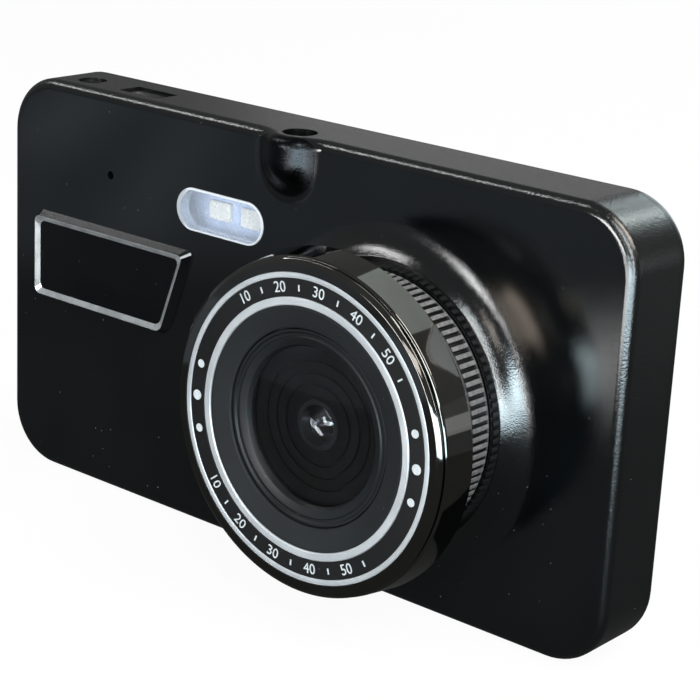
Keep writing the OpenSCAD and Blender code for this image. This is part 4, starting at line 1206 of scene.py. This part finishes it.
@dataclass
class LightPanel:
    """The lamp cover beside the lens and the two lamps behind it."""

    depth: float = 1.75
    soft: float = 0.12
    round_steps: int = 16
    lamp_size: Point = (4.1, 2.7)
    lamp_spread: float = 3.1
    lamp_drop: float = 0.4
    lamp_front: float = 5.825
    lamp_depth: float = 0.7
    lamp_soft: float = 0.4

    def build(self) -> None:
        """Make the cover, with a rounded rim, and the lamps, with soft edges."""
        mesh = bmesh.new()
        front = outline(mesh, rectangle(COVER_CENTRE, *COVER_SIZE), COVER_SIZE[1] / 2 - HAIR,
                        PLATE - COVER_PROUD, self.round_steps)
        block(mesh, front, self.depth, self.soft)
        BENCH.finish("lamp_cover", mesh, [LAMP_COVER], "light_cover", ["light_window"])
        mesh = bmesh.new()
        x, z = COVER_CENTRE
        for side in (-1, 1):
            corners = rectangle((x + side * self.lamp_spread, z - self.lamp_drop), *self.lamp_size)
            front = outline(mesh, corners, self.lamp_soft, self.lamp_front)
            block(mesh, front, self.lamp_depth, self.lamp_soft / 2)
        BENCH.finish("lamp_chips", mesh, [LED_WHITE], "led", ["led_chips"])


class TopEdge:
    """What shows in the top edge: the jack, the port and the bracket socket."""

    def build(self) -> None:
        """Make the skins of the sockets and of the insert."""
        BENCH.skin("av_jack", SOCKET_BLACK, "black_insulator")
        BENCH.skin("usb_shell", TIN, "tin", edge=Edge.CRISP)
        BENCH.dress(["usb_tongue"], PORT_TONGUE)
        BENCH.skin("bracket_insert", BRASS, "brass_insert")


@dataclass
class Back:
    """The screen window and the six keys beside it."""

    face: float = 14.575
    window: Point = (92.4, 53.6)
    window_centre: Point = (0.0, 30.0)
    window_depth: float = 1.0
    window_round: float = 2.0
    window_soft: float = 0.12
    key_size: Point = (4.4, 8.0)
    key_side: float = 50.2
    key_rows: Sequence[float] = (44.0, 30.0, 16.0)
    key_proud: float = 0.4
    key_depth: float = 2.0
    key_soft: float = 0.28
    key_steps: int = 12

    def build(self) -> None:
        """Make the window and the keys."""
        mesh = bmesh.new()
        face = outline(mesh, rectangle(self.window_centre, *self.window), self.window_round,
                       self.face)
        block(mesh, face, -self.window_depth, self.window_soft)
        BENCH.finish("screen_window_glass", mesh, [SCREEN_GLASS], "screen_glass",
                     ["screen_window"])
        for side, names in ((1, ("power", "menu", "mode")), (-1, ("up", "ok", "down"))):
            for name, row in zip(names, self.key_rows):
                self.key(f"{name}_key", (side * self.key_side, row))
        BENCH.skin("case_screws", SCREW_DARK, "screw_dark", edge=Edge.CRISP)

    def key(self, name: str, centre: Point) -> None:
        """Make one key with a rounded face.

        Args:
            name: The key's node and body.
            centre: Its middle in X and Z.
        """
        mesh = bmesh.new()
        face = outline(mesh, rectangle(centre, *self.key_size), self.key_size[0] / 2 - HAIR,
                       self.face + self.key_proud, self.key_steps)
        block(mesh, face, -self.key_depth, self.key_soft)
        BENCH.finish(f"{name}_cap", mesh, [KEY_PLASTIC], "key_plastic", [name], name)


class Inside:
    """The pieces that the shells hide, and those that show only through openings."""

    def dress(self) -> None:
        """Give every such node its finish."""
        for finish, nodes in (
            (FOAM_GREY, ("screen_gasket", "battery_pad")),
            (LCD_DARK, ("lcd_panel",)),
            (TRAY_GREY, ("lcd_frame",)),
            (RIBBON_BROWN, ("lcd_ribbon",)),
            (CREAM_PLASTIC, ("ribbon_socket",)),
            (BOARD_GREEN, ("main_board",)),
            (EPOXY_BLACK, ("board_chips", "key_switches", "reset_switch")),
            (TIN, ("shield_can", "card_socket", "microphone", "led_pins")),
            (CELL_FOIL, ("battery",)),
            (LEAD_RED, ("battery_leads",)),
            (SOCKET_BLACK, ("speaker", "lens_holder", "reset_plunger")),
            (LED_BOARD, ("led_board",)),
            (SEAL_RUBBER, ("glass_seal",)),
            (FILTER_GLASS, ("ir_filter",)),
            (SENSOR_BLUE, ("image_sensor",)),
            (CARD_PLASTIC, ("memory_card",)),
            (SCREW_STEEL, ("board_screws", "barrel_screws", "holder_screws")),
        ):
            BENCH.dress(nodes, finish)


# Studio

WHITE: Colour = (1.0, 1.0, 1.0)
COOL: Colour = (0.74, 0.92, 1.0)
SKY: Colour = (0.7, 0.86, 1.0)


@dataclass(frozen=True)
class Softbox:
    """A rectangular lamp that points at the object.

    Places and sizes are in metres. The power is that of a square metre with a glow of 1, in watts.
    """

    name: str
    place: Triple
    size: Point
    glow: float
    colour: Colour = WHITE
    along: Triple = (1.0, 0.0, 0.0)
    aim: Triple = (0.0, 0.0, 0.03)
    mirrored_only: bool = False
    power: ClassVar[float] = 4.0

    def build(self) -> None:
        """Add the lamp, with its first size along the direction that is given."""
        data = bpy.data.lights.new(self.name, "AREA")
        data.shape = "RECTANGLE"
        data.size, data.size_y = self.size
        data.energy = self.power * self.size[0] * self.size[1] * self.glow
        data.color = self.colour
        lamp = add_object(self.name, data)
        lamp.visible_camera = False
        lamp.visible_diffuse = not self.mirrored_only
        back = (Vector(self.place) - Vector(self.aim)).normalized()
        across = Vector(self.along)
        across = (across - across.dot(back) * back).normalized()
        lamp.matrix_world = stand(self.place, across, back)


@dataclass
class Studio:
    """The camera, the lamps, the floor and the world."""

    eye: Triple = (0.17777, -0.199975, 0.11698)
    forward: Triple = (-0.60249, 0.73725, -0.30571)
    upward: Triple = (-0.23372, 0.20328, 0.95082)
    lens: float = 106.45
    sensor: float = 36.0
    clip: Point = (0.01, 20.0)
    floor_size: float = 6.0
    floor_grey: float = 0.025
    floor_white: float = 0.95
    floor_glow: float = 0.94
    ambient: float = 0.12
    gloss_share: float = 0.04
    lamps: Sequence[Softbox] = (
        Softbox("key window", (0.38, -0.83, 0.05), (0.25, 0.18), 6.5, COOL),
        Softbox("tall window", (0.58, -0.46, 0.55), (0.8, 0.26), 6.2, (0.92, 0.98, 1.0),
                (0.66, 0.09, -0.75)),
        Softbox("upper window", (0.3, -0.78, 0.4), (0.22, 0.16), 3.0, (1.0, 0.93, 0.86)),
        Softbox("front window", (-0.13, -0.87, 0.14), (0.4, 0.24), 9.0, WHITE, (0.6, -0.05, -0.8)),
        Softbox("near card", (0.033, -0.125, 0.021), (0.066, 0.04), 4.5),
        Softbox("top left strip", (-0.5, -0.25, 0.62), (0.4, 0.08), 9.0),
        Softbox("top box", (0.5, 0.07, 0.68), (0.55, 0.34), 5.0, (1.0, 0.92, 0.85),
                (0.6, 0.05, -0.5)),
        Softbox("arc strip", (0.54, 0.18, 0.66), (0.7, 0.16), 2.6, (1.0, 0.86, 0.76),
                (0.75, 0.09, -0.65), mirrored_only=True),
        Softbox("front card", (-0.11, -0.09, 0.027), (0.26, 0.05), 0.075, SKY, (0.95, -0.3, 0.0),
                (-0.02, 0.0, 0.03)),
        Softbox("middle band", (-0.114, -0.09, 0.02), (0.034, 0.01), 0.1, SKY, (0.54, 0.0, 0.84),
                (-0.04, 0.0, 0.056), True),
        Softbox("left band", (-0.142, -0.09, 0.029), (0.03, 0.012), 0.12, SKY, (0.77, 0.0, 0.63),
                (-0.068, 0.0, 0.065), True),
        Softbox("floor card", (0.13, -0.11, 0.003), (0.16, 0.09), 8.0, COOL, (0.8, 0.6, 0.0),
                (0.05, 0.0, 0.03), True),
        Softbox("side floor card", (0.15, 0.08, 0.003), (0.16, 0.12), 0.05, (0.9, 1.0, 1.0),
                (0.6, 0.8, 0.0), (0.05, 0.0, 0.03), True),
        Softbox("left bar card", (-0.004, -0.092, 0.002), (0.03, 0.02), 1.6,
                aim=(-0.05, 0.0, 0.033), mirrored_only=True),
        Softbox("glass card", (-0.043, -0.09, 0.007), (0.05, 0.012), 0.16, SKY, (0.95, -0.3, 0.0),
                (0.02, -0.013, 0.04), True),
        Softbox("rear card", (-0.5, 0.84, 0.25), (0.4, 0.3), 0.24, WHITE, (0.84, 0.5, 0.0)),
        Softbox("back window", (-0.05, 0.86, 0.3), (0.5, 0.4), 1.9, (0.8, 0.97, 1.0)),
        Softbox("rear right card", (0.7, 0.55, 0.03), (0.4, 0.2), 0.5, WHITE, (0.6, -0.8, 0.0)),
        Softbox("rear top card", (0.07, 0.8, 0.75), (0.8, 0.5), 0.6, (0.9, 1.0, 0.96)),
        Softbox("rear top box", (0.17, 0.66, 0.6), (0.12, 0.12), 10.0, (0.9, 1.0, 0.98)),
        Softbox("right strip", (0.66, -0.42, 0.13), (0.26, 0.06), 12.0, WHITE, (0.0, 0.0, 1.0)),
    )

    def build(self) -> None:
        """Set the stage."""
        self.camera()
        for lamp in self.lamps:
            lamp.build()
        self.floor()
        self.world()
        bpy.context.scene.view_settings.view_transform = "Standard"

    def camera(self) -> None:
        """Put the camera where the photograph was taken from."""
        data = bpy.data.cameras.new("camera")
        data.sensor_width = self.sensor
        data.lens = self.lens
        data.clip_start, data.clip_end = self.clip
        eye = add_object("camera", data)
        back = -Vector(self.forward).normalized()
        right = Vector(self.upward).cross(back).normalized()
        eye.matrix_world = stand(self.eye, right, back)
        bpy.context.scene.camera = eye

    def shows(self, graph: Graph) -> Value:
        """A mask of the rays that see the white background: all from the camera, and in gloss and
        through glass a share, as in a room that is darker than the background."""
        made = graph.node("ShaderNodeLightPath")
        seen, gloss, clear = (Value(graph, made.outputs[f"Is {kind} Ray"])
                              for kind in ("Camera", "Glossy", "Transmission"))
        return seen.most(clear.most(gloss) * self.gloss_share)

    def floor(self) -> None:
        """Add the white floor, which keeps the object's shadow."""
        mesh = bmesh.new()
        bmesh.ops.create_grid(mesh, x_segments=1, y_segments=1, size=self.floor_size / 2)
        data = settle("floor", mesh)
        material = bpy.data.materials.new("floor white")
        material.use_nodes = True
        graph = Graph(material.node_tree)
        grey, white = (graph.node("ShaderNodeBsdfDiffuse", {"Color": (tone, tone, tone, 1.0)})
                       for tone in (self.floor_grey, self.floor_white))
        glow = graph.node("ShaderNodeEmission", {"Color": (*WHITE, 1.0)})
        shown = graph.mix_shaders(self.floor_glow, white, glow)
        both = graph.mix_shaders(self.shows(graph), grey, shown)
        graph.node("ShaderNodeOutputMaterial", {"Surface": both.outputs[0]})
        data.materials.append(material)
        add_object("floor", data)

    def world(self) -> None:
        """Add the white surroundings and a weaker even light."""
        world = bpy.data.worlds.new("studio")
        world.use_nodes = True
        bpy.context.scene.world = world
        graph = Graph(world.node_tree)
        white = (*WHITE, 1.0)
        light, back = (graph.node("ShaderNodeBackground", {"Color": white, "Strength": glow})
                       for glow in (self.ambient, 1.0))
        both = graph.mix_shaders(self.shows(graph), light, back)
        graph.node("ShaderNodeOutputWorld", {"Surface": both.outputs[0]})


def main() -> None:
    """Build the studio and the sub-assemblies in order."""
    logging.basicConfig(level=logging.INFO, format="%(message)s")
    Studio().build()
    Case().build()
    LensHead().build()
    NamePlate().build()
    LightPanel().build()
    TopEdge().build()
    Back().build()
    Inside().dress()


if __name__ == "__main__":
    main()
